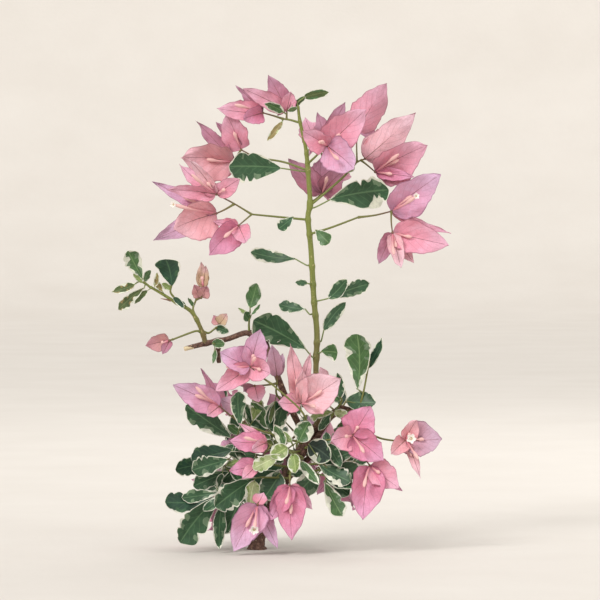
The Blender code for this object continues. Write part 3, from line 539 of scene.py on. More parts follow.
def grow_by_rule(bush, name, carrier, share, middle, half, twigs):
    """Twigs fan out from a hub by the golden angle, each with leaves in turn and some with a bloom."""
    middle = Vector(middle)
    mass = Mass(bush, name, stem_way(bush, carrier, share, [middle]), HUB_STEM_RADIUS)
    bush.take(name, knot_solid(middle, HUB_RADIUS))
    for i in range(twigs):
        rise = math.asin(1 - 2 * (i + 0.5) / twigs)
        for _ in range(TWIG_TRIES):
            turn = i * GOLDEN_ANGLE + mass.rng.uniform(-TWIG_WANDER, TWIG_WANDER)
            heading = direction(turn, rise)
            reach = Vector([a * b for a, b in zip(heading, half)]) * mass.rng.uniform(*TWIG_REACH)
            knee = middle + reach / 2 + FRONT * mass.rng.uniform(-KNEE_SHIFT, KNEE_SHIFT)
            way = [middle + reach * HUB_START, knee, middle + reach]
            if mass.keep_if_clear(twig_solid(way, GROWN_TWIG_RADIUS, TWIG_TIP_RADIUS)):
                mass.twigs.append(Twig(way, GROWN_TWIG_RADIUS, TWIG_TIP_RADIUS, "leaves"))
                dress_twig(mass, way, i % BLOOM_EVERY == 1, middle, half)
                break


def dress_twig(mass, way, blooms, middle, half):
    """Leaves in turn along a twig, inside the mass's space, and a leaf or a bloom at its end."""
    rng = mass.rng
    out = (way[2] - way[0]).normalized()
    side = out.cross(UP).normalized()
    space = [h * SPACE_EDGE for h in half]
    for k, share in enumerate(LEAF_SHARES):
        at_end = share == 1.0
        if at_end and blooms:
            grow_bloom(mass, way[2], out)
            continue
        root = way[1].lerp(way[2], share * 2 - 1)
        spread = Matrix.Rotation(k * GOLDEN_ANGLE + rng.uniform(0, LEAF_WANDER), 3, out) @ side
        heading = (out + spread * END_LEAF_ASIDE if at_end else out * LEAF_AHEAD + spread).normalized()
        tip = root + heading * rng.uniform(*LEAF_LENGTH)
        if inside(tip, middle, space):
            width = (tip - root).length * rng.uniform(*LEAF_WIDTH_SHARE)
            turn = rng.uniform(-GROWN_TURN, GROWN_TURN)
            seen_width = width * math.cos(math.radians(turn))
            blade = mass.add_blade(LEAF_KINDS[k], root, tip, seen_width, turn, leans=GROWN_LEANS)
            mass.keep_leaf(blade, None)


def grow_bloom(mass, base, out):
    """Bracts that open round the way the twig points."""
    if not mass.keep_if_clear(knot_solid(base)):
        return
    side = out.cross(UP).normalized()
    start = mass.rng.uniform(0, math.tau)
    kept = []
    for k in range(BRACTS_IN_BLOOM):
        spread = Matrix.Rotation(start + k * math.tau / BRACTS_IN_BLOOM, 3, out) @ side
        length = mass.rng.uniform(*BRACT_LENGTH)
        tip = base + (out * BRACT_AHEAD + spread).normalized() * length
        blade = Blade("heart", base, tip, length * BRACT_WIDTH_SHARE, out, BRACT_BOW, BRACT_SINK)
        if mass.keep_if_clear(blade.solid()):
            kept.append(blade)
    mass.blooms.append(Bloom(Vector(base), kept, ()))


def fill(mass, leaves):
    """Adds leaves on short twigs from the mass's own wood, inside the crown."""
    rng = mass.rng
    for _ in range(leaves * FILL_TRIES):
        start = rng.choice(mass.wood)
        any_way = direction(rng.uniform(0, math.tau), rng.uniform(-1, 1))
        heading = ((start - CROWN_MIDDLE).normalized() + any_way).normalized()
        root = start + heading * rng.uniform(*FILL_REACH)
        tip = root + heading * rng.uniform(*FILL_LENGTH)
        radius = TWIG_RADIUS * rng.uniform(*TWIG_VARIES)
        way = twig_ends(start, root)
        width = (tip - root).length * FILL_WIDTH_SHARE
        facing = facing_near(heading, rng.uniform(-GROWN_TURN, GROWN_TURN))
        blade = Blade("oval", root, tip, width, facing, LEAF_BOW, LEAF_SINK)
        solids = [twig_solid(way, radius, TWIG_TIP_RADIUS), blade.solid()]
        clear = all(mass.bush.is_clear(mass.name, bm) for bm in solids)
        if clear and inside(tip, CROWN_MIDDLE, CROWN_HALF):
            for bm in solids:
                mass.bush.take(mass.name, bm)
            mass.twigs.append(Twig(way, radius, TWIG_TIP_RADIUS, "leaf"))
            mass.keep_leaf(blade, None)
            leaves -= 1
        else:
            for bm in solids:
                bm.free()
        if leaves == 0:
            return

PETIOLE_RADIUS = 0.9
SPRAY_STEM_RADIUS = 1.3

# A single leaf on the main shoot: name, share of the shoot's length, the petiole's end,
# then each blade as its kind, tip, width, turn and tone.
SHOOT_LEAVES = [
    ("leaf_top", 1.0, (0, -1, 453), [
        ("strap", (24, -8, 458), 10, 10, "olive"), ("oval", (-14, 2, 442), 6, 0, "olive")]),
    ("leaf_high_left", 0.795, (-25, -12, 382), [("lobed", (-75, -24, 383), 30, -14, "dark")]),
    ("leaf_high_right", 0.685, (26, -12, 351), [("lobed", (83, -28, 360), 31, 18, "edged")]),
    ("leaf_mid_left", 0.502, (-10, 8, 291), [("lobed", (-54, 18, 297), 14, 20, "dark")]),
    ("leaf_small_left", 0.445, (2, -6, 267), [("oval", (-9, -12, 268), 7, 0, "dark")]),
    ("leaf_low_left", 0.35, (0, 5, 241), [("lobed", (-26, 14, 245), 12, 24, "dark")]),
    ("leaf_pair_right", 0.39, (24, -8, 252), [
        ("oval", (41, -22, 271), 14, -18, "dark"), ("lobed", (66, 4, 265), 15, 20, "dark")]),
    ("leaf_low_right", 0.265, (19, 10, 220), [("oval", (41, 22, 247), 13, 22, "dark")]),
    ("leaf_foot_right", 0.228, (17, -6, 199), [("fan", (32, -14, 198), 17, 10, "plain")]),
    ("leaf_foot_left", 0.215, (0, -9, 202), [("lobed", (-51, -26, 229), 30, -16, "dark")]),
]

# A group of leaves and blooms: name, carrier and share (1 is its tip), the stem's way, its leaves
# (kind, root, tip, width, tone) and its blooms. A bloom has its base, its bracts, as x, y and z of
# the tip, width and tone, and its flowers, as x, y and z of the tip and how far open it is.
# Bracts set back in a bloom mostly take the rose at four fifths of its light, which is painted shade.
SPRAYS = [
    ("spray_top_left", "main_shoot", 0.95, [(-15, 3, 430), (-22, 8, 431)], [
        ("strap", (-23, 6, 428), (-38, -2, 409), 7, "tawny"),
        ("strap", (-22, 4, 438), (-40, -8, 446), 9, "fresh"),
    ], [
        ((-18, 6, 440), [(-37, 20, 475, 20, "dusky"), (-62, 0, 461, 16, "rose"),
                         (-14, -10, 458, 15, "rose"), (-30, 38, 452, 20, "dusky")], []),
        ((-42, 16, 437), [(-88, 8, 442, 20, "rose"), (-71, 32, 465, 8, "dusky"),
                          (-62, -2, 431, 17, "magenta"), (-66, 46, 442, 18, "dusky")],
         [(-70, 0, 445, "shut")]),
    ]),
    ("spray_left_upper", "main_shoot", 0.80, [(-22, 10, 388), (-50, 18, 392)], [], [
        ((-64, 22, 400), [(-79, 14, 436, 26, "rose"), (-90, 32, 428, 12, "dusky")], []),
        ((-72, 12, 388), [(-124, 2, 392, 34, "salmon"), (-110, 34, 429, 15, "dusky"),
                          (-96, 44, 376, 24, "rose")], []),
    ]),
    ("spray_left_lower", "main_shoot", 0.645, [(-24, -8, 333), (-53, -19, 336)], [
        ("lobed", (-12, -8, 333), (-27, -18, 321), 12, "dark"),
    ], [
        ((-88, -28, 356), [(-125, -8, 385, 16, "rose"), (-115, -42, 391, 11, "pale"),
                           (-137, -34, 359, 14, "rose"), (-65, -38, 371, 17, "rose")],
         [(-112, -46, 376, "shut")]),
        ((-88, -22, 337), [(-131, -34, 322, 38, "salmon"), (-151, 0, 310, 22, "lilac"),
                           (-153, -14, 369, 14, "lilac")],
         [(-130, -44, 346, "opening")]),
        ((-66, -30, 325), [(-96, -44, 296, 26, "magenta"), (-58, -50, 308, 18, "rose"),
                           (-91, -24, 329, 10, "rose")],
         [(-80, -52, 314, "shut")]),
    ]),
    ("spray_right_centre", "main_shoot", 0.82, [(11, -14, 394), (18, -30, 402)], [], [
        ((22, -34, 404), [(-2, -48, 418, 21, "rose"), (60, -46, 440, 33, "rose"),
                          (49, -62, 381, 32, "lilac"), (12, -12, 439, 15, "dusky"),
                          (41, -8, 448, 20, "dusky")],
         [(33, -60, 391, "shut"), (16, -52, 409, "shut")]),
    ]),
    ("spray_right_behind", "main_shoot", 0.70, [(10, 12, 350), (15, 24, 354)], [], [
        ((17, 26, 356), [(-17, 22, 391, 22, "dusky"), (16, 46, 392, 24, "dusky"),
                         (38, 30, 379, 24, "dusky")],
         [(22, 12, 373, "shut")]),
    ]),
    ("spray_behind", "main_shoot", 0.85, [(4, 24, 400), (10, 44, 404)], [], [
        ((14, 54, 406), [(0, 78, 432, 26, "rose"), (46, 72, 424, 28, "salmon_back"),
                         (2, 90, 400, 22, "lilac_back")], []),
        ((20, 62, 378), [(48, 84, 372, 26, "rose_back"), (10, 92, 362, 24, "lilac_back"),
                         (24, 48, 350, 18, "rose")], []),
    ]),
    ("spray_right_upper", "main_shoot", 0.695, [(35, -3, 370), (45, 0, 380), (52, 5, 388)], [
        ("oval", (42, -4, 378), (48, -12, 384), 8, "lime"),
    ], [
        ((52, 26, 418), [(82, 24, 467, 30, "rose_back"), (70, 58, 446, 24, "lilac_back")], []),
        ((60, 10, 391), [(111, 20, 437, 31, "pale_back"), (74, 32, 422, 14, "salmon")], []),
        ((70, -10, 378), [(122, -22, 403, 34, "rose"), (106, -32, 374, 12, "magenta"),
                          (110, 10, 398, 22, "dusky")],
         [(93, -30, 396, "shut")]),
    ]),
    ("spray_right_lower", "main_shoot", 0.60, [(27, -8, 323), (53, -16, 333)], [
        ("lobed", (11, -8, 320), (24, -18, 307), 15, "plain"),
    ], [
        ((86, -14, 339), [(135, -26, 374, 33, "lilac"), (145, -12, 316, 9, "rose_back"),
                          (118, 14, 352, 26, "pale")],
         [(110, -32, 354, "opening")]),
        ((87, -24, 318), [(142, -38, 306, 30, "rose"), (108, -26, 288, 15, "salmon"),
                          (95, -46, 284, 15, "pale"), (73, -36, 287, 15, "dusky")],
         [(88, -48, 297, "shut")]),
    ]),
    ("left_tip_leaves", "left_shoot", 1.0, [(-160, -19, 268), (-166, -21, 269)], [
        ("lobed", (-162, -20, 272), (-176, -32, 300), 17, "half"),
        ("strap", (-170, -20, 266), (-194, -12, 259), 9, "moss"),
        ("lobed", (-160, -22, 263), (-184, -38, 242), 11, "moss"),
        ("oval", (-160, -17, 270), (-153, -8, 280), 7, "plain"),
    ]),
    ("left_fan_leaf", "left_shoot", 0.62, [(-134, -15, 258), (-133, -17, 265)], [
        ("fan", (-133, -17, 266), (-138, -25, 292), 24, "deep"),
        ("oval", (-134, -15, 261), (-142, -22, 267), 7, "lime"),
    ]),
    ("left_bud_upper", "left_shoot", 0.30, [(-112, -1, 241), (-109, 3, 250)], [
        ("strap", (-112, 0, 244), (-117, -4, 252), 4, "plain"),
    ], [
        ((-104, 5, 252), [(-98, -4, 264, 12, "blush"), (-111, 2, 265, 11, "blush")], []),
        ((-102, 6, 262), [(-104, 8, 288, 11, "bud"), (-99, 2, 284, 9, "bud")], []),
    ]),
    ("left_bud_lower", "left_shoot", 0.12, [(-110, -8, 219), (-132, -12, 211)], [], [
        ((-135, -12, 210), [(-159, -16, 205, 17, "blush"), (-142, -20, 197, 9, "dusky")], []),
    ]),
    ("left_bud_inner", "left_shoot", 0.10, [(-96, 2, 217), (-89, 6, 222)], [
        ("oval", (-88, 6, 222), (-76, 2, 218), 9, "dark"),
    ], [
        ((-86, 8, 225), [(-79, 2, 236, 11, "bud"), (-92, 14, 234, 10, "blush")], []),
    ]),
    ("left_arm_leaves", "left_arm", 0.60, [(-87, -8, 208), (-88, -10, 207)], [
        ("oval", (-92, -11, 207), (-80, -16, 207), 10, "plain"),
        ("strap", (-90, -9, 200), (-92, -12, 187), 5, "plain"),
    ]),
    ("left_arm_sprig", "left_arm", 0.16, [(-56, -2, 226), (-55, -2, 238)], [
        ("oval", (-55, -2, 243), (-48, -6, 267), 15, "plain"),
        ("oval", (-56, -3, 230), (-60, -10, 238), 9, "plain"),
        ("strap", (-56, -2, 236), (-67, -4, 242), 4, "lime"),
    ]),
    ("bloom_left_high", "trunk", 0.96, [(2, -44, 131), (-6, -58, 145), (-33, -60, 169)], [], [
        ((-54, -54, 186), [(-44, -60, 223, 24, "lilac"), (-84, -62, 201, 25, "lilac"),
                           (-34, -66, 180, 24, "rose"), (-89, -64, 162, 20, "rose"),
                           (-60, -26, 196, 20, "rose")],
         [(-78, -62, 186, "shut"), (-49, -68, 196, "shut")]),
    ]),
    ("bloom_left_slim", "left_bough", 0.30, [(-28, -22, 156), (-28, -30, 168)], [], [
        ((-28, -31, 175), [(-33, -36, 207, 15, "mauve"), (-22, -20, 198, 10, "mauve")], []),
        ((-50, -36, 166), [(-46, -42, 150, 18, "rose"), (-62, -22, 158, 16, "dusky")], []),
    ]),
    ("bloom_left_far", "trunk", 0.84, [(-28, -30, 116), (-58, -38, 126)], [], [
        ((-85, -42, 146), [(-131, -52, 168, 25, "lilac"), (-103, -31, 183, 8, "dusky"),
                           (-96, -57, 138, 13, "rose")],
         [(-108, -56, 166, "shut")]),
        ((-62, -34, 142), [(-85, -24, 152, 20, "mauve")], []),
    ]),
    ("bloom_left_front", "trunk", 0.78, [(-20, -42, 100), (-34, -58, 108)], [], [
        ((-38, -60, 111), [(-75, -64, 113, 19, "magenta"), (-66, -50, 130, 9, "rose"),
                           (-52, -74, 104, 12, "rose")],
         [(-60, -74, 117, "shut")]),
        ((-48, -58, 89), [(-75, -62, 83, 17, "magenta"), (-62, -74, 76, 12, "rose")], []),
    ]),
    ("bloom_low_left", "trunk", 0.36, [(-42, -40, 56), (-46, -62, 55)], [], [
        ((-47, -68, 50), [(-70, -78, 5, 30, "lilac"), (-41, -62, 62, 14, "rose"),
                          (-27, -72, 7, 15, "lilac"), (-52, -46, 12, 22, "lilac")],
         [(-50, -84, 27, "open")]),
    ]),
    ("bloom_low_centre", "trunk", 0.60, [(-14, -44, 86), (-15, -62, 78)], [], [
        ((-15, -66, 69), [(-34, -74, 35, 20, "magenta"), (-13, -78, 16, 28, "magenta"),
                          (8, -62, 45, 14, "rose"), (-14, -46, 30, 22, "rose")],
         [(-19, -82, 52, "shut")]),
    ]),
    ("bloom_right_pair", "trunk", 0.82, [(20, -42, 112), (42, -56, 114)], [], [
        ((47, -58, 118), [(65, -60, 147, 30, "magenta"), (26, -64, 113, 25, "rose"),
                          (77, -68, 94, 29, "magenta")],
         [(58, -74, 102, "shut"), (40, -72, 118, "shut")]),
        ((64, -54, 88), [(57, -70, 35, 31, "magenta"), (93, -64, 67, 24, "rose"),
                         (97, -46, 62, 12, "magenta"), (70, -40, 50, 20, "rose")],
         [(58, -72, 68, "shut")]),
    ]),
    ("bloom_right_far", "right_bough", 0.97, [(60, -30, 122), (74, -34, 114), (90, -34, 111)], [], [
        ((100, -34, 112), [(136, -34, 113, 33, "mauve"), (86, -46, 99, 17, "salmon"),
                           (111, -42, 132, 15, "salmon"), (113, -48, 75, 9, "pale"),
                           (116, -10, 104, 22, "mauve")],
         [(105, -47, 114, "open"), (112, -50, 94, "shut")]),
    ]),
    ("bloom_centre", "main_shoot", 0.02, [(8, -26, 138), (-2, -38, 146)], [], [
        ((-4, -42, 149), [(35, -50, 174, 37, "pale"), (-14, -44, 208, 16, "salmon"),
                          (6, -32, 199, 12, "salmon"), (-2, -56, 182, 12, "salmon"),
                          (-27, -46, 150, 18, "rose"), (14, -24, 176, 20, "salmon")],
         [(10, -60, 146, "shut")]),
    ]),
]

LEAF_MASSES = [
    ("mass_left_upper", "trunk", 0.76, [(-28, -16, 104), (-62, -20, 112)], [
        ("lobed", (-74, -22, 114), (-118, -28, 146), 24, "dark"),
        ("lobed", (-64, -46, 127), (-66, -54, 161), 15, "edged"),
        ("lobed", (-52, -20, 130), (-46, -24, 153), 13, "lime"),
        ("oval", (-30, -20, 120), (-28, -24, 150), 22, "edged"),
        ("oval", (-66, -26, 118), (-77, -32, 127), 9, "plain"),
    ]),
    ("mass_left_mid", "trunk", 0.64, [(-36, -28, 88), (-68, -34, 96)], [
        ("oval", (-50, -40, 98), (-70, -50, 102), 17, "edged"),
        ("lobed", (-73, -34, 102), (-113, -42, 93), 23, "deep"),
        ("lobed", (-76, -38, 93), (-112, -50, 83), 20, "dark"),
        ("lobed", (-88, -30, 88), (-129, -34, 83), 19, "deep"),
        ("lobed", (-76, -30, 80), (-111, -36, 66), 17, "dark"),
        ("oval", (-60, -26, 84), (-84, -18, 70), 22, "dark"),
    ]),
    ("mass_left_low", "trunk", 0.28, [(-62, -22, 44), (-82, -36, 56)], [
        ("lobed", (-86, -38, 60), (-122, -42, 55), 13, "dark"),
        ("lobed", (-90, -40, 54), (-139, -44, 50), 20, "deep"),
        ("lobed", (-87, -42, 55), (-124, -50, 11), 27, "dark"),
        ("strap", (-86, -44, 54), (-101, -52, 43), 10, "edged"),
        ("strap", (-83, -44, 46), (-84, -50, 5), 13, "dark"),
        ("oval", (-66, -30, 50), (-80, -22, 18), 24, "dark"),
    ]),
    ("mass_front_low", "trunk", 0.56, [(-16, -34, 74), (-44, -50, 76)], [
        ("lobed", (-50, -52, 75), (-88, -62, 47), 25, "dark"),
        ("oval", (-50, -54, 72), (-54, -62, 49), 15, "pale"),
        ("oval", (-25, -42, 79), (-42, -42, 54), 24, "dark"),
    ]),
    ("mass_front_rosette", "trunk", 0.72, [(-2, -34, 94), (-18, -56, 104)], [
        ("lobed", (-24, -60, 99), (-51, -68, 86), 15, "pale"),
        ("strap", (-21, -60, 108), (-30, -68, 129), 10, "fresh"),
        ("oval", (-6, -52, 112), (4, -58, 132), 19, "fresh"),
        ("oval", (-18, -60, 106), (-34, -52, 97), 17, "lime"),
        ("oval", (-12, -60, 99), (-10, -70, 82), 13, "lime"),
        ("strap", (-4, -56, 92), (14, -66, 71), 10, "half"),
        ("strap", (-14, -58, 112), (-26, -56, 123), 9, "lime"),
    ]),
    ("mass_right_low", "trunk", 0.60, [(16, -30, 82), (22, -40, 84)], [
        ("oval", (4, -42, 108), (25, -50, 94), 24, "night"),
        ("lobed", (14, -42, 88), (45, -50, 72), 18, "edged"),
        ("lobed", (20, -42, 70), (37, -48, 37), 17, "half"),
        ("strap", (24, -40, 108), (36, -46, 86), 13, "dark"),
        ("oval", (12, -34, 78), (-8, -40, 54), 22, "dark"),
        ("oval", (32, -34, 84), (66, -32, 74), 22, "dark"),
    ]),
    ("mass_right_upper", "right_bough", 1.0, [(52, -20, 140), (58, -22, 158), (64, -22, 190)], [
        ("oval", (42, -22, 150), (70, -28, 150), 19, "dark"),
        ("fan", (52, -22, 162), (51, -28, 217), 26, "fresh"),
        ("strap", (62, -20, 183), (77, -22, 213), 9, "deep"),
    ]),
    ("mass_right_inner", "right_bough", 0.62, [(36, -20, 149), (35, -21, 154)], [
        ("strap", (35, -20, 155), (32, -24, 178), 11, "edged"),
        ("strap", (30, -26, 140), (42, -40, 137), 9, "pale"),
        ("oval", (34, -20, 150), (24, -20, 160), 10, "plain"),
    ]),
]

# Masses grown by rule: name, carrier, share, middle, half sizes, how many twigs.
GROWN_MASSES = [
    ("mass_back_left_upper", "back_bough_left", 1.0, (-62, 46, 124), (46, 34, 40), 6),
    ("mass_back_left_low", "trunk", 0.24, (-66, 36, 50), (46, 40, 44), 7),
    ("mass_back_middle", "trunk", 0.74, (-8, 50, 112), (34, 36, 44), 6),
    ("mass_back_right_low", "trunk", 0.48, (30, 34, 88), (40, 34, 34), 6),
    ("mass_back_right_upper", "back_bough_right", 1.0, (34, 40, 134), (32, 34, 36), 6),
    ("mass_side_right", "trunk", 0.70, (42, -6, 90), (32, 22, 32), 5),
    ("mass_side_left", "trunk", 0.56, (-54, 2, 96), (36, 24, 36), 6),
]
HUB_RADIUS = 3.0
HUB_STEM_RADIUS = 1.8
GROWN_TWIG_RADIUS = 1.2
TWIG_REACH = (0.50, 0.62)  # of the way to the edge of the mass's space
TWIG_TRIES = 4
TWIG_WANDER = 0.4  # radians either way that a twig may turn from the golden angle
KNEE_SHIFT = 3  # how far a twig's middle may lie forward or back
HUB_START = 0.05  # of its reach, where a twig leaves its hub
LEAF_SHARES = (0.5, 0.74, 1.0)  # where a grown twig bears its leaves
LEAF_KINDS = ("lobed", "oval", "lobed")
LEAF_LENGTH = (32.0, 44.0)
LEAF_WIDTH_SHARE = (0.46, 0.62)
LEAF_WANDER = 0.8  # radians that a leaf may turn on from the golden angle
LEAF_AHEAD = 0.55  # how much a side leaf points along its twig, to 1 away from it
END_LEAF_ASIDE = 0.3  # how much the leaf at the end points away from its twig, to 1 along it
GROWN_TURN = 50
GROWN_LEANS = (0.0, 0.2, -0.2)
SPACE_EDGE = 1.12  # how far a leaf's tip may pass the mass's space
BLOOM_EVERY = 3  # each such twig ends in a bloom instead of its last leaf
BRACTS_IN_BLOOM = 3
BRACT_LENGTH = (32.0, 40.0)
BRACT_WIDTH_SHARE = 0.72
BRACT_BOW = 0.14
BRACT_AHEAD = 0.75  # how much a bract points along its twig, to 1 away from it

# Extra leaves grown by rule inside the front masses, and the crown that they keep inside.
FILL_LEAVES = {
    "mass_left_upper": 3, "mass_left_mid": 2, "mass_left_low": 1, "mass_front_low": 1,
    "mass_front_rosette": 1, "mass_right_low": 2, "mass_right_upper": 1, "mass_right_inner": 1,
}
CROWN_MIDDLE = Vector((-12.0, -6.0, 84.0))
CROWN_HALF = (96.0, 74.0, 84.0)
FILL_TRIES = 6  # for each leaf
FILL_REACH = (6.0, 14.0)
FILL_LENGTH = (26.0, 39.0)
FILL_WIDTH_SHARE = 0.5

# Small leaves that only the finished plant has, by mass: where each one's petiole starts, its kind,
# root, tip, width and tone.
EXTRA_LEAVES = {
    "left_arm_sprig": [
        # A near-black leaf at the arm's end: partly dead, partly painted shade for the shadow that it
        # lies in.
        ((-50, 0, 217), "oval", (-44, -4, 216), (-25, -10, 210), 10, "dead"),
        ((-55, -2, 232), "strap", (-53, -5, 236), (-45, -9, 246), 4, "plain"),
    ],
    "left_fan_leaf": [
        ((-131, -11, 249), "strap", (-131, -14, 253), (-121, -20, 243), 7, "deep"),
        ((-140, -13, 255), "oval", (-142, -17, 259), (-150, -22, 272), 6, "tawny"),
        ((-118, -8, 242), "strap", (-120, -11, 247), (-126, -15, 249), 3, "plain"),
    ],
    "left_tip_leaves": [
        ((-151, -16, 261), "oval", (-150, -20, 264), (-147, -25, 278), 6, "tawny"),
        ((-153, -17, 263), "strap", (-157, -19, 260), (-170, -25, 247), 7, "olive"),
        ((-155, -17, 264), "strap", (-162, -21, 268), (-171, -25, 277), 5, "lime"),
    ],
    "leaf_top": [
        ((-7, 1, 443), "strap", (-8, -2, 442), (-17, -7, 439), 5, "olive"),
    ],
    "bloom_left_slim": [
        ((-28, -22, 158), "strap", (-31, -26, 146), (-34, -30, 128), 6, "olive"),
    ],
}

# A thorn on the left shoot: where it starts and its point.
THORN = ((-134, -12, 250), (-144, -15, 252))
THORN_RADII = (1.1, 0.2)


# ---------------------------------------------------------------- the rule carried on, finer

FINER_SHARES = (0.35, 0.7, 0.95)  # where a twig bears a finer one
FINER_REACH = (6.0, 13.0)
FINER_RADII = (0.55, 0.38)
FINER_FRONT = -36.0  # young leaves stay behind the leaves that are listed
FINER_AHEAD = 0.5  # how much a finer twig points along its own, to 1 away from it
# Where the air between the boughs stays open: the middle and the half size of each place, in X and Z.
OPEN_PLACES = [
    ((-49, 132), (11, 15)), ((-14, 130), (7, 5)), ((34, 132), (8, 7)),
    ((-94, 110), (14, 9)), ((-83, 126), (8, 10)),
]
OPEN_CHECKS = (0.3, 0.6, 0.9)  # where along a blade's middle line that is looked at
YOUNG_LENGTH = (15.0, 28.0)
YOUNG_WIDTH_SHARE = (0.42, 0.58)
YOUNG_KINDS = ("oval", "lobed", "oval", "strap")
YOUNG_LEAVES = (0.5, 1.0)  # where a finer twig bears its young leaves
YOUNG_ASIDE = 1.3  # how much a young leaf points away from its twig, less its place along it
RULE_TONES = ("dark", "dark", "deep", "edged", "dark", "edged", "plain", "half", "edged", "lime")


def grow_finer(mass, middle, half):
    """Finer twigs from each leafy twig, kept where at least one young leaf finds room."""
    rng = random.Random(f"{mass.name} finer")
    for blade in mass.leaves:
        blade.tone = blade.tone or rng.choice(RULE_TONES)
    for twig in [t for t in mass.twigs if t.bears != "bloom"]:
        for share in FINER_SHARES:
            start = twig.way[0].lerp(twig.way[-1], share)
            out = (twig.way[-1] - twig.way[0]).normalized()
            spread = Matrix.Rotation(rng.uniform(0, math.tau), 3, out) @ out.orthogonal().normalized()
            reach = (out * FINER_AHEAD + spread).normalized() * rng.uniform(*FINER_REACH)
            young = [young_leaf(start + reach * at, reach, at, rng) for at in YOUNG_LEAVES]
            kept = [blade for blade in young if keep_young(mass, blade, middle, half)]
            if kept:
                mass.twigs.append(Twig([start, start + reach], *FINER_RADII, "leaf"))


def young_leaf(root, reach, at, rng):
    """A leaf that its finer twig bears at this share of its length. It opens away from the twig."""
    side = reach.orthogonal().normalized()
    spread = Matrix.Rotation(rng.uniform(0, math.tau), 3, reach.normalized()) @ side
    heading = (reach.normalized() + spread * (YOUNG_ASIDE - at)).normalized()
    length = rng.uniform(*YOUNG_LENGTH)
    facing = facing_near(heading, rng.uniform(-GROWN_TURN, GROWN_TURN))
    width = length * rng.uniform(*YOUNG_WIDTH_SHARE)
    blade = Blade(rng.choice(YOUNG_KINDS), root, root + heading * length, width, facing, LEAF_BOW, 0.0)
    blade.tone = rng.choice(RULE_TONES)
    return blade


def covers_open_place(blade):
    """True where the middle line of a blade runs through an open place, as seen from the front."""
    places = [blade.spine(share) for share in OPEN_CHECKS]
    return any(
        abs(place.x - x) < across and abs(place.z - z) < rise
        for (x, z), (across, rise) in OPEN_PLACES for place in places
    )


def clear_open_places(mass):
    """Takes out the blades of a mass that would close the open places."""
    mass.leaves = [blade for blade in mass.leaves if not covers_open_place(blade)]
    for bloom in mass.blooms:
        bloom.bracts[:] = [blade for blade in bloom.bracts if not covers_open_place(blade)]


def keep_young(mass, blade, middle, half):
    """True where a young leaf has room. The mass then has it."""
    solid = blade.solid()
    behind = min(blade.spine(0.0).y, blade.spine(1.0).y) > FINER_FRONT
    room = behind and not covers_open_place(blade) and inside(blade.spine(1.0), middle, half)
    clear = room and mass.bush.is_clear(None, solid)
    if clear:
        mass.bush.take(mass.name, solid)
        mass.leaves.append(blade)
    else:
        solid.free()
    return clear


def add_extra_leaves(mass, rows):
    """Leaves that are set out on a mass, each with its petiole."""
    for start, kind, root, tip, width, tone in rows:
        root, tip = Vector(root), Vector(tip)
        turn = mass.rng.uniform(-LEAF_TURN, LEAF_TURN)
        facing = facing_near((tip - root).normalized(), turn)
        blade = Blade(kind, root, tip, width, facing, LEAF_BOW, 0.0)
        blade.tone = tone
        mass.leaves.append(blade)
        mass.twigs.append(Twig([Vector(start), root], *FINER_RADII, "leaf"))


def grow_bush():
    """The whole bush, in the order that the solids were grown in and then on to what is finer."""
    bush = Bush()
    for name in LIMBS:
        bush.lay_limb(name)
    grow_shoot_leaves(bush)
    for row in SPRAYS + LEAF_MASSES:
        grow_spray(bush, *row)
    for row in GROWN_MASSES:
        grow_by_rule(bush, *row)
    for name, leaves in FILL_LEAVES.items():
        fill(bush.masses[name], leaves)
    for name, *_ in LEAF_MASSES:
        grow_finer(bush.masses[name], CROWN_MIDDLE, CROWN_HALF)
    for name, _, _, middle, half, _ in GROWN_MASSES:
        clear_open_places(bush.masses[name])
        grow_finer(bush.masses[name], middle, [h * SPACE_EDGE for h in half])
    for name, rows in EXTRA_LEAVES.items():
        add_extra_leaves(bush.masses[name], rows)
    thorn = Twig([Vector(place) for place in THORN], *THORN_RADII, "thorn")
    bush.masses["left_fan_leaf"].twigs.append(thorn)
    return bush


# ---------------------------------------------------------------- finishes

UV_NAME = "grain"


def srgb(red, green, blue):
    """A colour from the usual 0 to 255 steps, as the linear values that a material takes."""
    shares = [value / 255 for value in (red, green, blue)]
    linear = [s / 12.92 if s <= 0.04045 else ((s + 0.055) / 1.055) ** 2.4 for s in shares]
    return (*linear, 1.0)


class Value:
    """A number or a colour inside a finish: the socket that gives it."""

    def __init__(self, finish, socket):
        self.finish = finish
        self.socket = socket

    def __add__(self, other):
        return self.finish.maths("ADD", self, other)

    def __sub__(self, other):
        return self.finish.maths("SUBTRACT", self, other)

    def __rsub__(self, other):
        return self.finish.maths("SUBTRACT", other, self)

    def __mul__(self, other):
        return self.finish.maths("MULTIPLY", self, other)

    def __abs__(self):
        return self.finish.maths("ABSOLUTE", self)

    __radd__ = __add__
    __rmul__ = __mul__


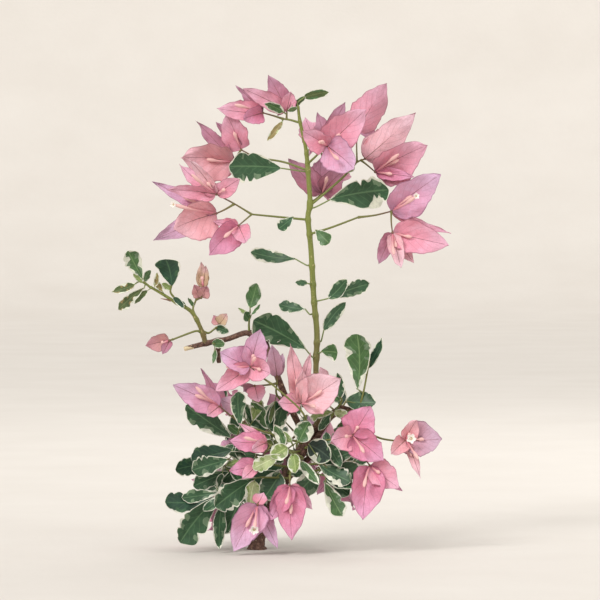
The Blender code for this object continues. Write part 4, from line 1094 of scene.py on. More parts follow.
class Finish:
    """A material whose nodes are written as expressions on values."""

    def __init__(self, name, **constants):
        self.material = bpy.data.materials.new(name)
        self.material.use_nodes = True
        self.tree = self.material.node_tree
        self.shader = self.tree.nodes["Principled BSDF"]
        for socket, value in constants.items():
            self.give(socket.replace("_", " "), value)

    def feed(self, socket, value):
        """Links a value to a node's socket, or sets the socket to a plain number or colour."""
        if isinstance(value, Value):
            self.tree.links.new(value.socket, socket)
        else:
            socket.default_value = value

    def give(self, socket, value):
        """Sets or links one of the shader's own sockets."""
        self.feed(self.shader.inputs[socket], value)

    def node(self, kind, settings=None, inputs=None, output=0):
        """A new node with its settings made and its inputs fed, as the value of one of its outputs."""
        made = self.tree.nodes.new(kind)
        for setting, value in (settings or {}).items():
            setattr(made, setting, value)
        for socket, value in (inputs or {}).items():
            self.feed(made.inputs[socket], value)
        return Value(self, made.outputs[output])

    def maths(self, operation, *values):
        return self.node("ShaderNodeMath", {"operation": operation}, dict(enumerate(values)))

    def mix(self, share, first, second):
        """The first colour at a share of 0, and the second at 1."""
        return self.node("ShaderNodeMix", {"data_type": "RGBA"}, {0: share, 6: first, 7: second}, 2)

    def step(self, value, low, high):
        """A smooth step from 0 at low to 1 at high."""
        inputs = {"Value": value, "From Min": low, "From Max": high}
        return self.node("ShaderNodeMapRange", {"interpolation_type": "SMOOTHSTEP"}, inputs)

    def place(self):
        """Where a point is on its own piece, in metres."""
        return self.node("ShaderNodeTexCoord", output="Object")

    def noise(self, scale, detail=2.0, stretch=(1, 1, 1)):
        """A noise about 0.5, with scale cells to a metre."""
        where = self.node("ShaderNodeMapping", {}, {"Vector": self.place(), "Scale": stretch})
        return self.node("ShaderNodeTexNoise", {}, {"Vector": where, "Scale": scale, "Detail": detail})

    def net(self, scale, width):
        """A fine net of lines, 1 on the lines."""
        settings = {"feature": "DISTANCE_TO_EDGE"}
        inputs = {"Vector": self.place(), "Scale": scale}
        return 1 - self.step(self.node("ShaderNodeTexVoronoi", settings, inputs), 0.0, width)

    def along_blade(self):
        """Two values on a blade: how far from its middle line, 0 to 1, and how far along it."""
        both = self.node("ShaderNodeUVMap", {"uv_map": UV_NAME})
        across = self.node("ShaderNodeSeparateXYZ", {}, {0: both}, "X")
        along = self.node("ShaderNodeSeparateXYZ", {}, {0: both}, "Y")
        return abs(across * 2 - 1), along

    def fade(self, along, waver, low, high, foot, end):
        """A colour that turns from foot to end between two shares, with an edge that wavers."""
        scale, amount = waver
        share = along + (self.noise(scale) - 0.5) * amount
        return self.mix(self.step(share, low, high), foot, end)

    def rough(self, scale, varies, least):
        """Gives a roughness from the least up, with scale cells to a metre."""
        self.give("Roughness", self.noise(scale) * varies + least)

    def veins(self, across, along, pairs, slope, width):
        """Side veins that leave the middle line in pairs and bend towards the tip, 1 on the veins."""
        phase = (along - across * slope) * pairs
        return 1 - self.step(self.maths("PINGPONG", phase, 0.5), 0.0, width)

    def bump(self, height, strength, distance):
        """Relief on the skin. The distance is what a height of 1 stands up by, in metres."""
        inputs = {"Height": height, "Strength": strength, "Distance": distance}
        self.give("Normal", self.node("ShaderNodeBump", {}, inputs))


def darker(colour, share):
    """The colour with this share of its light."""
    return (*(value * share for value in colour[:3]), 1.0)


def leaf_finish(name, colour, vein, under):
    """A leaf's skin with a pale midrib, side veins and a faint mottle. The underside is duller."""
    made = Finish(name, Specular_IOR_Level=0.3 if under else 0.45)
    across, along = made.along_blade()
    midrib = 1 - made.step(across, 0.02, 0.09)
    side = made.veins(across, along, 7.0, 0.32, 0.10) * (0.35 if under else 0.5)
    mottle = made.noise(150.0, 3.0)
    skin = made.mix(made.step(mottle, 0.35, 0.68), darker(colour, 0.72), colour)
    lines = made.maths("MAXIMUM", midrib, side)
    made.give("Base Color", made.mix(lines * 0.65, skin, vein))
    made.rough(90.0, 0.2, 0.62 if under else 0.36)
    made.bump(lines * (0.6 if under else -0.5) + made.noise(700.0) * 0.35, 0.35, 0.0004)
    return made.material


def bract_finish(name, inner, outer, edge, back):
    """Papery colour that turns from the foot to the tip, with side veins, a fine net and painted shade
    at the foot, where the bracts of a bloom meet.
    """
    made = Finish(name, Sheen_Weight=0.15, Sheen_Roughness=0.4, Specular_IOR_Level=0.25)
    across, along = made.along_blade()
    skin = made.fade(along, (45.0, 0.7), 0.25, 1.05, inner, outer)
    pale = (*(min(1.0, value * 1.12 + 0.02) for value in outer[:3]), 1.0)
    skin = made.mix(made.step(made.noise(120.0, 3.0), 0.45, 0.75) * 0.5, skin, pale)
    # Painted shade: the foot of each bract, where the bracts of a bloom crowd together, is darkened
    # towards the edge colour.
    throat = 1 - made.step(along + made.noise(160.0) * 0.1, 0.06, 0.26)
    skin = made.mix(throat * 0.45, skin, edge)
    side = made.veins(across, along, 6.0, 0.42, 0.085) * (1 - made.step(across, 0.75, 1.0))
    net = made.net(330.0, 0.07)
    lines = made.maths("MAXIMUM", side, net * 0.6)
    skin = made.mix(lines * (0.5 if back else 0.36), skin, darker(inner, 0.5))
    rim = made.step(across, 0.91, 0.99)
    made.give("Base Color", made.mix(rim * 0.75, skin, edge))
    made.rough(100.0, 0.15, 0.5)
    crumple = made.noise(150.0, 3.0) * 2.2 + made.noise(520.0) * 0.4
    made.bump(crumple + lines * (0.5 if back else -0.5), 0.5, 0.0006)
    return made.material


def bark_finish(name, dark, light, scar):
    """Rough bark with pale corky spots and darker cracks along the limb."""
    made = Finish(name, Specular_IOR_Level=0.3)
    grain = made.noise(260.0, 4.0)
    cracks = made.net(240.0, 0.10)
    skin = made.mix(made.step(grain, 0.3, 0.7), dark, light)
    skin = made.mix(made.step(made.noise(420.0, 1.0), 0.66, 0.74), skin, scar)
    made.give("Base Color", made.mix(cracks * 0.55, skin, darker(dark, 0.4)))
    made.give("Roughness", grain * 0.25 + 0.65)
    made.bump(grain - cracks * 0.8, 0.7, 0.0008)
    return made.material


CORK = srgb(196, 178, 132)


def shoot_finish(name, foot, body, ripe):
    """Smooth green skin, browner at its foot, with faint ribs and small corky dots."""
    made = Finish(name, Specular_IOR_Level=0.4)
    _, along = made.along_blade()
    skin = made.fade(along, (60.0, 0.25), 0.0, 0.55, foot, body)
    ribs = made.noise(300.0, 2.0, (1, 1, 0.08))
    skin = made.mix(made.step(ribs, 0.5, 0.72) * 0.55, skin, ripe)
    dots = made.step(made.noise(650.0, 0.0), 0.72, 0.78)
    made.give("Base Color", made.mix(dots * 0.6, skin, CORK))
    made.rough(80.0, 0.15, 0.42)
    made.bump(ribs * 0.6 + dots * 0.4, 0.4, 0.0005)
    return made.material


def stalk_finish(name, foot, end):
    """A slim stalk or cut wood, whose colour turns from its foot to its end."""
    made = Finish(name, Specular_IOR_Level=0.35)
    _, along = made.along_blade()
    skin = made.fade(along, (90.0, 0.5), 0.15, 0.95, foot, end)
    spots = made.step(made.noise(500.0, 2.0), 0.5, 0.8) * 0.5
    made.give("Base Color", made.mix(spots, skin, darker(foot, 0.7)))
    made.rough(200.0, 0.15, 0.45)
    made.bump(made.noise(600.0, 2.0, (1, 1, 0.3)), 0.3, 0.0003)
    return made.material


def flower_finish(name, foot, end):
    """A flower's thin skin, whose colour turns from its foot to its end."""
    made = Finish(name, Specular_IOR_Level=0.3)
    _, along = made.along_blade()
    made.give("Base Color", made.mix(made.step(along, 0.1, 0.8), foot, end))
    made.rough(150.0, 0.1, 0.5)
    made.bump(made.noise(900.0), 0.25, 0.0002)
    return made.material


# Each finish of slim stalks and cut wood, and of flowers: its colour at the foot and at the end.
STALK_SKINS = {
    "cut_wood": (srgb(232, 222, 196), srgb(214, 196, 160)),
    "spray_stem": (srgb(122, 132, 68), srgb(116, 118, 66)),
    "stalk": (srgb(116, 116, 66), srgb(110, 74, 68)),
    "petiole": (srgb(104, 110, 66), srgb(132, 146, 92)),
    "young_twig": (srgb(112, 88, 60), srgb(120, 126, 70)),
    "knot": (srgb(122, 92, 70), srgb(150, 96, 96)),
    "rib": (srgb(118, 84, 66), srgb(146, 92, 104)),
}
FLOWER_SKINS = {
    "flower_tube": (srgb(208, 128, 144), srgb(234, 188, 184)),
    "flower_throat": (srgb(178, 176, 122), srgb(226, 222, 200)),
    "flower_star": (srgb(236, 226, 216), srgb(246, 240, 236)),
}

# Each leaf finish: its own colour and the colour of its veins.
LEAF_SKINS = {
    "deep": (srgb(36, 72, 52), srgb(80, 116, 80)),
    "dark": (srgb(54, 92, 60), srgb(102, 138, 96)),
    "plain": (srgb(74, 112, 64), srgb(126, 156, 104)),
    "lime": (srgb(134, 156, 88), srgb(188, 200, 140)),
    "pale": (srgb(178, 190, 138), srgb(214, 220, 178)),
    "grey": (srgb(112, 138, 106), srgb(150, 170, 138)),
    "olive": (srgb(80, 98, 52), srgb(122, 136, 82)),
    "tawny": (srgb(150, 134, 84), srgb(186, 172, 120)),
    # The next colour is a near-black brown: partly a dead leaf's colour, partly painted shade for a
    # leaf that lies in shadow.
    "dead": (srgb(48, 46, 42), srgb(74, 68, 58)),
    "night": (srgb(46, 64, 56), srgb(86, 104, 90)),
    "cream": (srgb(232, 234, 216), srgb(238, 240, 226)),
}

# Each tone of leaf: its core, its patches and how much cream it has round them.
LEAF_TONES = {
    "deep": ("deep", "dark", 0.25),
    "dark": ("dark", "grey", 0.5),
    "edged": ("dark", "grey", 0.9),
    "plain": ("plain", "grey", 0.25),
    "lime": ("lime", "pale", 0.7),
    "pale": ("pale", "lime", 0.9),
    "half": ("plain", "grey", 1.9),
    "fresh": ("plain", "grey", 1.2),
    "olive": ("olive", "plain", 0.1),
    "tawny": ("tawny", "pale", 0.4),
    "night": ("night", "grey", 1.3),
    "moss": ("olive", "tawny", 1.1),
    # The near-black leaf below is partly dead and partly painted shade.
    "dead": ("dead", "dead", 0.0),
}

# Each bract finish: its colour at the foot, at the tip and at the very edge.
BRACT_SKINS = {
    "rose": (srgb(228, 152, 172), srgb(224, 174, 196), srgb(152, 94, 110)),
    "salmon": (srgb(230, 164, 172), srgb(228, 182, 194), srgb(158, 102, 112)),
    "lilac": (srgb(218, 158, 186), srgb(214, 178, 208), srgb(150, 102, 130)),
    "magenta": (srgb(216, 132, 160), srgb(218, 158, 190), srgb(148, 82, 108)),
    # The next tone is the rose at about four fifths of its light: painted shade for bracts that lie
    # back in their bloom or behind the bush.
    "dusky": (srgb(184, 118, 138), srgb(180, 134, 156), srgb(116, 76, 90)),
    "pale": (srgb(234, 180, 188), srgb(230, 196, 208), srgb(164, 116, 128)),
    "mauve": (srgb(204, 154, 172), srgb(198, 166, 188), srgb(136, 100, 116)),
    "bud": (srgb(208, 180, 148), srgb(214, 172, 178), srgb(132, 104, 78)),
    "blush": (srgb(214, 160, 158), srgb(194, 136, 150), srgb(128, 86, 94)),
}

# ---------------------------------------------------------------- shapes

# The kinds of outline that the solids have, drawn finer, with more places round the rim.
FINE_OUTLINES = {
    "oval": (0.0, 0.34, 0.70, 0.93, 1.0, 0.90, 0.64, 0.28, 0.0),
    "heart": (0.0, 0.62, 0.96, 1.06, 1.0, 0.78, 0.41, 0.10, 0.0),
    "lobed": (0.0, 0.14, 0.38, 0.66, 0.93, 1.05, 0.92, 0.46, 0.0),
    "fan": (0.0, 0.14, 0.34, 0.60, 0.86, 1.02, 1.0, 0.66, 0.0),
    "strap": (0.0, 0.40, 0.76, 0.96, 1.0, 0.88, 0.58, 0.22, 0.0),
}
# The fewest and the most round lobes on each side of a blade's outer part, and how deep the cuts
# between them are.
LOBES = {
    "oval": (2, 3, 0.10), "lobed": (2, 4, 0.30), "fan": (2, 3, 0.22), "strap": (2, 3, 0.06),
    "heart": (2, 3, 0.05),
}
LOBES_FROM = 0.40  # of the blade's length
LOBES_FADE_IN = 4  # the cuts reach their full depth over the first quarter of that part
LOBE_VARIES = (0.5, 1.2)  # each side's cuts, as a share of their kind's depth
CURL = (-0.06, 0.10)  # how far a tip may curl up or back, as a share of the length

# What changes along a blade: how fast, and where in the noise each of its two sides reads it.
DRIFTS = {
    "width": (4, (0, 9)),
    "ragged": (11, (4, 13)),
    "lobes": (3, (30, 31)),
    "rim": (4, (50, 57)),
    "cream": (3.4, (20, 27)),
    "jag": (22, (40, 47)),
    "patch_start": (16, (60, 67)),
    "patched": (6, (80, 87)),
}
WIDTH_DRIFT = 0.14
LOBE_DRIFT = 1.3

LEAF_BANDS = 3  # columns on each side: the core, the patches and the cream
LEAF_FOLD = (0.05, 0.32)
LEAF_WAVE = (0.010, 0.032)  # of its length
LEAF_WAVES = 2.2  # along its length
LEAF_OUT_OF_STEP = 2.0  # radians between the waves of its two edges
CREAM_RIM = (0.7, 0.07)  # the widest in millimetres, and as a share of the leaf's width
LEAST_HALF_WIDTH = 1.5  # a narrower place counts as this wide, so that the rim doesn't fill it
RIM_DRIFT = 1.4
LEAST_RIM = 0.3  # of its usual width
RIM_BY_TONE = (0.6, 0.5)  # the rim's share in any tone, and what a tone's cream adds
CREAM_PATCH = (0.08, 1.3)  # the drift that a patch of cream starts at, and how fast it widens
CREAM_JAG = 0.9
MOST_CREAM = 0.80  # of the half width
PATCH_START = (0.55, 0.4)  # of the green part, and how far its start drifts
PATCH_LEAST = 0.05  # of the half width
PATCHED_FROM = 0.10  # the drift from which a face of that band takes the patches' finish

BRACT_RAGGED = 0.13  # how much its edge varies, of the half width
BRACT_CUP = (0.10, 0.46)
BRACT_FOLD = (0.05, 0.5)
BRACT_WAVE = (0.02, 0.05)  # of its length
BRACT_WAVES = (1.6, 3.2)
BRACT_OUT_OF_STEP = 2.4
CUP_START = 0.15  # how far along its curve the cup is already at the foot
CREASE = (0.04, 2.6, 6)  # the depth as a share of the length, and how many go across and along

ROWS_PER_MM = 0.8
LEAF_ROWS = (14, 34)
BRACT_ROWS = (16, 26)
BRACT_COLUMNS = 12
LEAF_THICKNESS = 0.35
BRACT_THICKNESS = 0.22
RIB_RADII = (0.38, 0.12)
RIB_STEPS = 12
RIB_SIDES = 5
SHARP_ANGLE = math.radians(50)


def smooth_through(values, place):
    """The value at a place among evenly spaced ones, on a smooth curve."""
    i = min(int(place), len(values) - 2)
    padded = [values[0], *values, values[-1]]
    return bend_through(*padded[i : i + 4], place - i)


def crowded_ends(share):
    """Evenly spaced shares drawn towards 0 and 1, for closer rows at a blade's root and tip."""
    return (1 - math.cos(math.pi * share)) / 2


def plain(slot):
    """Paints every face with one finish."""
    return lambda u, v: slot


def add_grid(bm, columns, rows, place, paint=plain(0), warp=None):
    """A sheet whose points are set out by place(u, v), with u and v from 0 to 1 kept as its UV map.

    The finish of each face is paint(u, v) at its middle, before warp(u, v) shifts the points.
    """
    grain = bm.loops.layers.uv.get(UV_NAME) or bm.loops.layers.uv.new(UV_NAME)
    verts = bmesh.ops.create_grid(bm, x_segments=columns, y_segments=rows, size=0.5)["verts"]
    for face in {face for vert in verts for face in vert.link_faces}:
        middle = face.calc_center_median()
        face.material_index = paint(middle.x + 0.5, middle.y + 0.5)
        face.smooth = True
    for vert in verts:
        u, v = vert.co.x + 0.5, vert.co.y + 0.5
        if warp:
            u, v = warp(u, v)
        for loop in vert.link_loops:
            loop[grain].uv = (u, v)
        vert.co = place(u, v)
    bmesh.ops.remove_doubles(bm, verts=verts, dist=WELD)


def add_tube(bm, way, radii, sides, paint=plain(0), relief=None):
    """A closed tube along a way, with a radius at each place. relief(u, i) is added to that radius."""
    turns = rings_along(way)
    rows = len(way) + 1

    def place(u, v):
        row = round(v * rows)
        i = min(max(row - 1, 0), len(way) - 1)
        radius = 0.0 if row in (0, rows) else radii[i]
        if relief and radius:
            radius += relief(u, i)
        angle = u * math.tau
        rim = turns[i] @ Vector((math.cos(angle), math.sin(angle), 0.0))
        return way[i] + rim * radius

    add_grid(bm, sides, rows, place, paint)


class BladeShape:
    """What a blade's finished sheet adds to its plain solid: folds, waves and a cut edge."""

    ragged = 0.0

    def __init__(self, blade, rng):
        self.blade = blade
        self.face = blade.normal
        self.outline = FINE_OUTLINES[blade.kind]
        self.seed = rng.uniform(0, 100)
        self.phase = rng.uniform(0, math.tau)
        self.curl = rng.uniform(*CURL)
        few, many, depth = LOBES[blade.kind]
        self.lobes = [
            (rng.randint(few, many), rng.uniform(0.0, 0.5), depth * rng.uniform(*LOBE_VARIES))
            for _ in range(2)
        ]

    def noise_at(self, x, y):
        return noise.noise(Vector((x, y, self.seed)))

    def drift(self, what, hand, share):
        """How something has changed at a share of the length, from about -1 to 1."""
        speed, starts = DRIFTS[what]
        return self.noise_at(share * speed, starts[hand])

    def half_width(self, hand, share):
        """The half width in millimetres on one hand, 0 or 1, with its lobes."""
        round_rim = math.acos(max(-1.0, min(1.0, 1 - 2 * share))) / math.pi
        half = smooth_through(self.outline, round_rim * (len(self.outline) - 1))
        half *= 1 + WIDTH_DRIFT * self.drift("width", hand, share)
        half *= 1 + self.ragged * self.drift("ragged", hand, share)
        count, phase, depth = self.lobes[hand]
        outer = (share - LOBES_FROM) / (1 - LOBES_FROM)
        if outer > 0:
            cut = 1 - abs(math.sin(math.pi * (count * outer + phase)))
            deep = depth * (1 + LOBE_DRIFT * self.drift("lobes", hand, share))
            half *= 1 - deep * cut * cut * min(1.0, outer * LOBES_FADE_IN)
        return max(half, 0.0) * self.blade.width / 2

    def place(self, u, v):
        """The point of the sheet at u across it and v along it."""
        across = 2 * u - 1
        width = abs(across) * self.half_width(int(across > 0), v)
        lift = self.lift(across, width, v) - self.curl * self.blade.length * v ** 3
        side = self.blade.along.cross(self.face)
        return self.blade.spine(v) + side * math.copysign(width, across) + self.face * lift

    def edge_wave(self, across, share):
        """The wave of both edges, out of step with each other. The midrib doesn't take part."""
        phase = self.phase + self.out_of_step * (across > 0)
        return self.wave * across ** 2 * math.sin(math.tau * self.waves * share + phase)


class LeafShape(BladeShape):
    """A leaf folded along its midrib, with a green core, patches and an uneven cream rim."""

    columns = 2 * LEAF_BANDS
    rows = LEAF_ROWS
    waves = LEAF_WAVES
    out_of_step = LEAF_OUT_OF_STEP

    def __init__(self, blade, rng, slots):
        super().__init__(blade, rng)
        self.fold = rng.uniform(*LEAF_FOLD)
        self.wave = rng.uniform(*LEAF_WAVE) * blade.length
        core, patch, self.cream = LEAF_TONES[blade.tone]
        self.slots = (slots[core], slots[patch], slots["cream"])

    def lift(self, across, width, share):
        return width * self.fold + self.edge_wave(across, share)

    def cream_share(self, hand, share):
        """How much of the half width is cream: a thin, uneven rim that widens in patches."""
        widest, of_width = CREAM_RIM
        rim = min(widest, of_width * self.blade.width)
        rim /= max(self.half_width(hand, share), LEAST_HALF_WIDTH)
        rim *= max(LEAST_RIM, 1.0 + RIM_DRIFT * self.drift("rim", hand, share))
        rim *= RIM_BY_TONE[0] + RIM_BY_TONE[1] * self.cream
        start, gain = CREAM_PATCH
        patch = max(0.0, self.drift("cream", hand, share) - start) * self.cream * gain
        jag = 1 + CREAM_JAG * self.drift("jag", hand, share)
        return min(MOST_CREAM, (rim + patch) * jag)

    def warp(self, u, v):
        """Draws the columns to where the patches and the cream begin, and the rows to the ends."""
        share = crowded_ends(v)
        across = 2 * u - 1
        hand = int(across > 0)
        green = 1 - self.cream_share(hand, share)
        usual, varies = PATCH_START
        patch = green * (usual + varies * self.drift("patch_start", hand, share))
        starts = (0.0, min(green - PATCH_LEAST, patch), green, 1.0)
        start = starts[round(abs(across) * LEAF_BANDS)]
        return 0.5 + math.copysign(start, across) / 2, share

    def paint(self, u, v):
        band = int(abs(2 * u - 1) * LEAF_BANDS)
        if band == 1 and self.drift("patched", int(u > 0.5), crowded_ends(v)) <= PATCHED_FROM:
            band = 0
        return self.slots[band]


class BractShape(BladeShape):
    """A papery bract, cupped round its flower, with a ruffled edge."""

    columns = BRACT_COLUMNS
    rows = BRACT_ROWS
    ragged = BRACT_RAGGED
    out_of_step = BRACT_OUT_OF_STEP

    def __init__(self, blade, rng, slots):
        super().__init__(blade, rng)
        self.slot = slots[blade.tone.removesuffix("_back")]
        self.face = inner_face(blade)
        self.cup = rng.uniform(*BRACT_CUP)
        self.fold = rng.uniform(*BRACT_FOLD)
        self.wave = rng.uniform(*BRACT_WAVE) * blade.length
        self.waves = rng.uniform(*BRACT_WAVES)

    def lift(self, across, width, share):
        cup = width * (self.fold + self.cup * abs(across))
        cup *= math.sin(math.pi * min(share + CUP_START, 1.0))
        depth, over, along = CREASE
        crease = depth * self.blade.length * abs(across) * self.noise_at(across * over, share * along)
        return cup + self.edge_wave(across, share) + crease

    def warp(self, u, v):
        return u, crowded_ends(v)

    def paint(self, u, v):
        return self.slot


def inner_face(blade):
    """The way that the inner side of a bract faces. A tone that ends in _back turns it round."""
    return -blade.normal if blade.tone.endswith("_back") else blade.normal


def add_blade(bm, shape):
    """The finished sheet of a leaf or a bract."""
    few, many = shape.rows
    rows = int(max(few, min(many, shape.blade.length * ROWS_PER_MM)))
    add_grid(bm, shape.columns, rows, shape.place, shape.paint, shape.warp)


def add_rib(bm, shape):
    """A bract's raised midrib, on both its faces."""
    shares = [i / RIB_STEPS for i in range(RIB_STEPS)]
    way = [shape.place(0.5, share) for share in shares]
    thick, thin = RIB_RADII
    add_tube(bm, way, [thick + (thin - thick) * share for share in shares], RIB_SIDES)


# ---------------------------------------------------------------- pieces

def object_from(name, bm, finishes):
    """An object in the scene that has the mesh, which is freed, and the finishes."""
    mesh = bpy.data.meshes.new(name)
    bm.to_mesh(mesh)
    bm.free()
    for finish in finishes:
        mesh.materials.append(finish)
    return new_object(name, mesh)


def finish_piece(name, bm, finishes, slot, nodes, thickness=0.0):
    """Makes the mesh a piece that stands for some nodes.

    A mesh with a thickness is a sheet. The first half of its finishes is for its faces, and the
    second half, in the same order, for their backs.
    """
    bmesh.ops.translate(bm, vec=-FOOT, verts=bm.verts[:])
    bmesh.ops.scale(bm, vec=(MM,) * 3, verts=bm.verts[:])
    piece = object_from(name, bm, finishes)
    if thickness:
        give_thickness(piece, thickness * MM, len(finishes) // 2)
    piece.data.set_sharp_from_angle(angle=SHARP_ANGLE)
    keep_used_finishes(piece.data)
    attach(piece, "root")
    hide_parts(*nodes)


def give_thickness(piece, thickness, under):
    """Gives a sheet a back, whose finishes come so many places after the ones of its face."""
    shell = piece.modifiers.new("thickness", "SOLIDIFY")
    shell.thickness = thickness
    shell.offset = -1.0
    shell.material_offset = under
    thick = mesh_seen(piece)
    thin = piece.data
    piece.modifiers.clear()
    piece.data = thick
    bpy.data.meshes.remove(thin)
    thick.name = piece.name


def keep_used_finishes(mesh):
    """Drops the finishes that no face has."""
    used = sorted({face.material_index for face in mesh.polygons})
    kept = [mesh.materials[i] for i in used]
    indices = [used.index(face.material_index) for face in mesh.polygons]
    mesh.materials.clear()
    for finish in kept:
        mesh.materials.append(finish)
    mesh.polygons.foreach_set("material_index", indices)


LIMB_STEP = 1.4
SKIN_STEPS = 8  # places to a span, before a limb is cut into steps
LIMB_INSIDE = 2.6  # how far a limb or a stem starts inside what carries it
LIMB_TIP = 0.8  # of the radius that the limb has there
NODE_SWELL = 0.24  # of the radius, where a side stem leaves
NODE_HALF = 2.6  # how far it reaches to each side
MOST_SWELL = 0.35  # where nodes are close together
COLLAR_SWELL = 0.35  # of the radius, where a limb leaves its carrier
COLLAR_FADE = 3.0  # how far along the limb it fades
BARK_RELIEF = 0.13  # of the radius
SHOOT_RELIEF = 0.035
# Each kind of relief: how many bumps go round, how many go along, how far apart the noise of two
# limbs is, and its share of the relief.
RIBS = (2.4, 0.045, 7, 1.1)
BUMPS = (4.0, 0.55, 3, 0.7)
# The flare at the ground: its height, how far it stands out, how far its lobes do, how many there
# are and where the first is.
FLARE = (14.0, 0.09, 0.11, 3, 1.2)
CUT_LIMBS = ("left_arm", "left_snag")
# The cut end: where it begins along the limb, how far its slant goes either way and where round
# the limb the slant starts.
CUT = (0.92, 0.06, 1.0)


def nodes_on(carrier):
    """The shares of a limb's length where others leave it."""
    forks = [share for other, share in FORKS.values() if other == carrier]
    sprays = [row[2] for row in SPRAYS + LEAF_MASSES if row[1] == carrier]
    singles = [row[1] for row in SHOOT_LEAVES] if carrier == "main_shoot" else []
    return forks + sprays + singles


def limb_skin(bush, name, finishes):
    """A limb in short steps with its swellings and relief, rooted inside the limb that carries it."""
    finish, _, sides, _ = LIMBS[name]
    coarse = bush.limb_way(name, SKIN_STEPS)
    if name in FORKS:
        start, knee = coarse[0], coarse[1]
        inner = start.to_3d() + (start - knee).to_3d().normalized() * LIMB_INSIDE
        coarse.insert(0, Vector((*inner, start.w)))
    length = sum((b - a).to_3d().length for a, b in zip(coarse, coarse[1:]))
    count = int(length / LIMB_STEP)
    places = [point_on(coarse, i / count) for i in range(count + 1)]
    way = [place for place, _, _ in places]
    radii = [swollen(name, i / count, length, places[i][1]) for i in range(count + 1)]
    radii[-1] *= LIMB_TIP
    amount = BARK_RELIEF if finish == "bark" else SHOOT_RELIEF
    bm = bmesh.new()
    add_tube(bm, way, radii, sides, limb_paint(name), limb_relief(way, radii, amount, len(name)))
    finish_piece(f"{name}_skin", bm, [finishes[finish], finishes["cut_wood"]], finish, [name])


def limb_paint(name):
    """The arm and the snag end in a slanting pale cut."""
    if name not in CUT_LIMBS:
        return plain(0)
    start, slant, turn = CUT
    return lambda u, v: int(v > start + slant * math.sin(math.tau * u + turn))


def swollen(name, share, length, radius):
    """The radius of a limb at a share of its length, with its nodes and its collar."""
    away = [(share - node) * length / NODE_HALF for node in nodes_on(name)]
    swell = sum(NODE_SWELL * math.exp(-(distance ** 2)) for distance in away)
    collar = COLLAR_SWELL * math.exp(-share * length / COLLAR_FADE) if name in FORKS else 0.0
    return radius * (1 + min(swell, MOST_SWELL) + collar)


def limb_relief(way, radii, amount, seed):
    """Ribs that run along the limb, broken up by finer bumps, and on bark a flare at the ground."""
    height, out, lobe, lobes, first = FLARE

    def bumps(rim, i, kind):
        around, along, apart, share = kind
        return noise.noise(rim * around + UP * (i * LIMB_STEP * along + seed * apart)) * share

    def relief(u, i):
        angle = u * math.tau
        rim = Vector((math.cos(angle), math.sin(angle), 0.0))
        rough = amount * (bumps(rim, i, RIBS) + bumps(rim, i, BUMPS))
        flare = max(0.0, 1 - way[i].z / height) * (out + lobe * math.cos(lobes * angle + first))
        return radii[i] * (rough + flare * (amount > SHOOT_RELIEF))

    return relief


def flared(start, end, last, swell, fade):
    """Radii from start to end, with the first places swollen."""
    even = [start + (end - start) * i / last for i in range(last + 1)]
    return [radius * (1 + swell * math.exp(-i / fade)) for i, radius in enumerate(even)]


STEM_STEPS = 6
STEM_SKIN_SIDES = 8
STEM_FLARE = (0.5, 3.0)  # of the radius at its root, and how many places it takes to fade


def add_stem(bm, mass, slot):
    """The stem that carries a mass, rooted inside its limb. Only a short one leaves it square."""
    first, second = mass.stem[0], mass.stem[1]
    rest = mass.stem[2:] if len(mass.stem) > 3 else mass.stem[1:]
    inner = first + (first - second).normalized() * LIMB_INSIDE
    way = [Vector(p) for p in spline([inner, first, *rest], STEM_STEPS)]
    end = max(mass.stem_radius * STEM_TAPER, TWIG_TIP_RADIUS)
    radii = flared(mass.stem_radius, end, len(way) - 1, *STEM_FLARE)
    add_tube(bm, way, radii, STEM_SKIN_SIDES, plain(slot))


TWIG_STEPS = 5
TWIG_SKIN_SIDES = 6
TWIG_SAG = 0.04  # of its length, either way
TWIG_FLARE = (0.4, 1 / 0.9)  # as for a stem
PETIOLE_RADII = (0.85, 0.5)  # the widest at its root and at its leaf


def add_twig(bm, twig, slot, rng):
    """A twig on a slight curve, a little thicker at its root. A petiole thins towards its leaf."""
    ends = [Vector(p) for p in twig.way]
    reach = ends[-1] - ends[0]
    if len(ends) == 2:
        bow = reach.orthogonal().normalized() * reach.length * rng.uniform(-TWIG_SAG, TWIG_SAG)
        ends.insert(1, ends[0].lerp(ends[1], 0.5) + bow)
    way = spline(ends, TWIG_STEPS)
    start, end = twig.start_radius, twig.end_radius
    if twig.bears == "leaf":
        start, end = [min(radius, widest) for radius, widest in zip((start, end), PETIOLE_RADII)]
    radii = flared(start, end, len(way) - 1, *TWIG_FLARE)
    add_tube(bm, way, radii, TWIG_SKIN_SIDES, plain(slot))


STALK_FINISHES = ("stalk", "petiole", "young_twig", "knot", "spray_stem")
# The finish of a twig by what it bears, and of a stem by its radius.
TWIG_FINISHES = {"bloom": "stalk", "leaf": "petiole", "leaves": "young_twig", "thorn": "knot"}
STEM_FINISHES = {
    PETIOLE_RADIUS: "petiole", SPRAY_STEM_RADIUS: "spray_stem", HUB_STEM_RADIUS: "young_twig",
}
KNOT_SKIN_RADIUS = 1.35


def stalks_piece(name, masses, finishes):
    """The stems, twigs and petioles of some masses, with the small knots under their blooms."""
    bm = bmesh.new()
    slots = {finish: i for i, finish in enumerate(STALK_FINISHES)}
    for mass in masses:
        rng = random.Random(f"{mass.name} stalks")
        add_stem(bm, mass, slots[STEM_FINISHES[mass.stem_radius]])
        for twig in mass.twigs:
            add_twig(bm, twig, slots[TWIG_FINISHES[twig.bears]], rng)
        for bloom in mass.blooms:
            add_knot(bm, bloom.centre, slots["knot"])
    skins = [finishes[finish] for finish in STALK_FINISHES]
    finish_piece(name, bm, skins, "green_stem", names_of(masses))


def names_of(masses):
    return [mass.name for mass in masses]


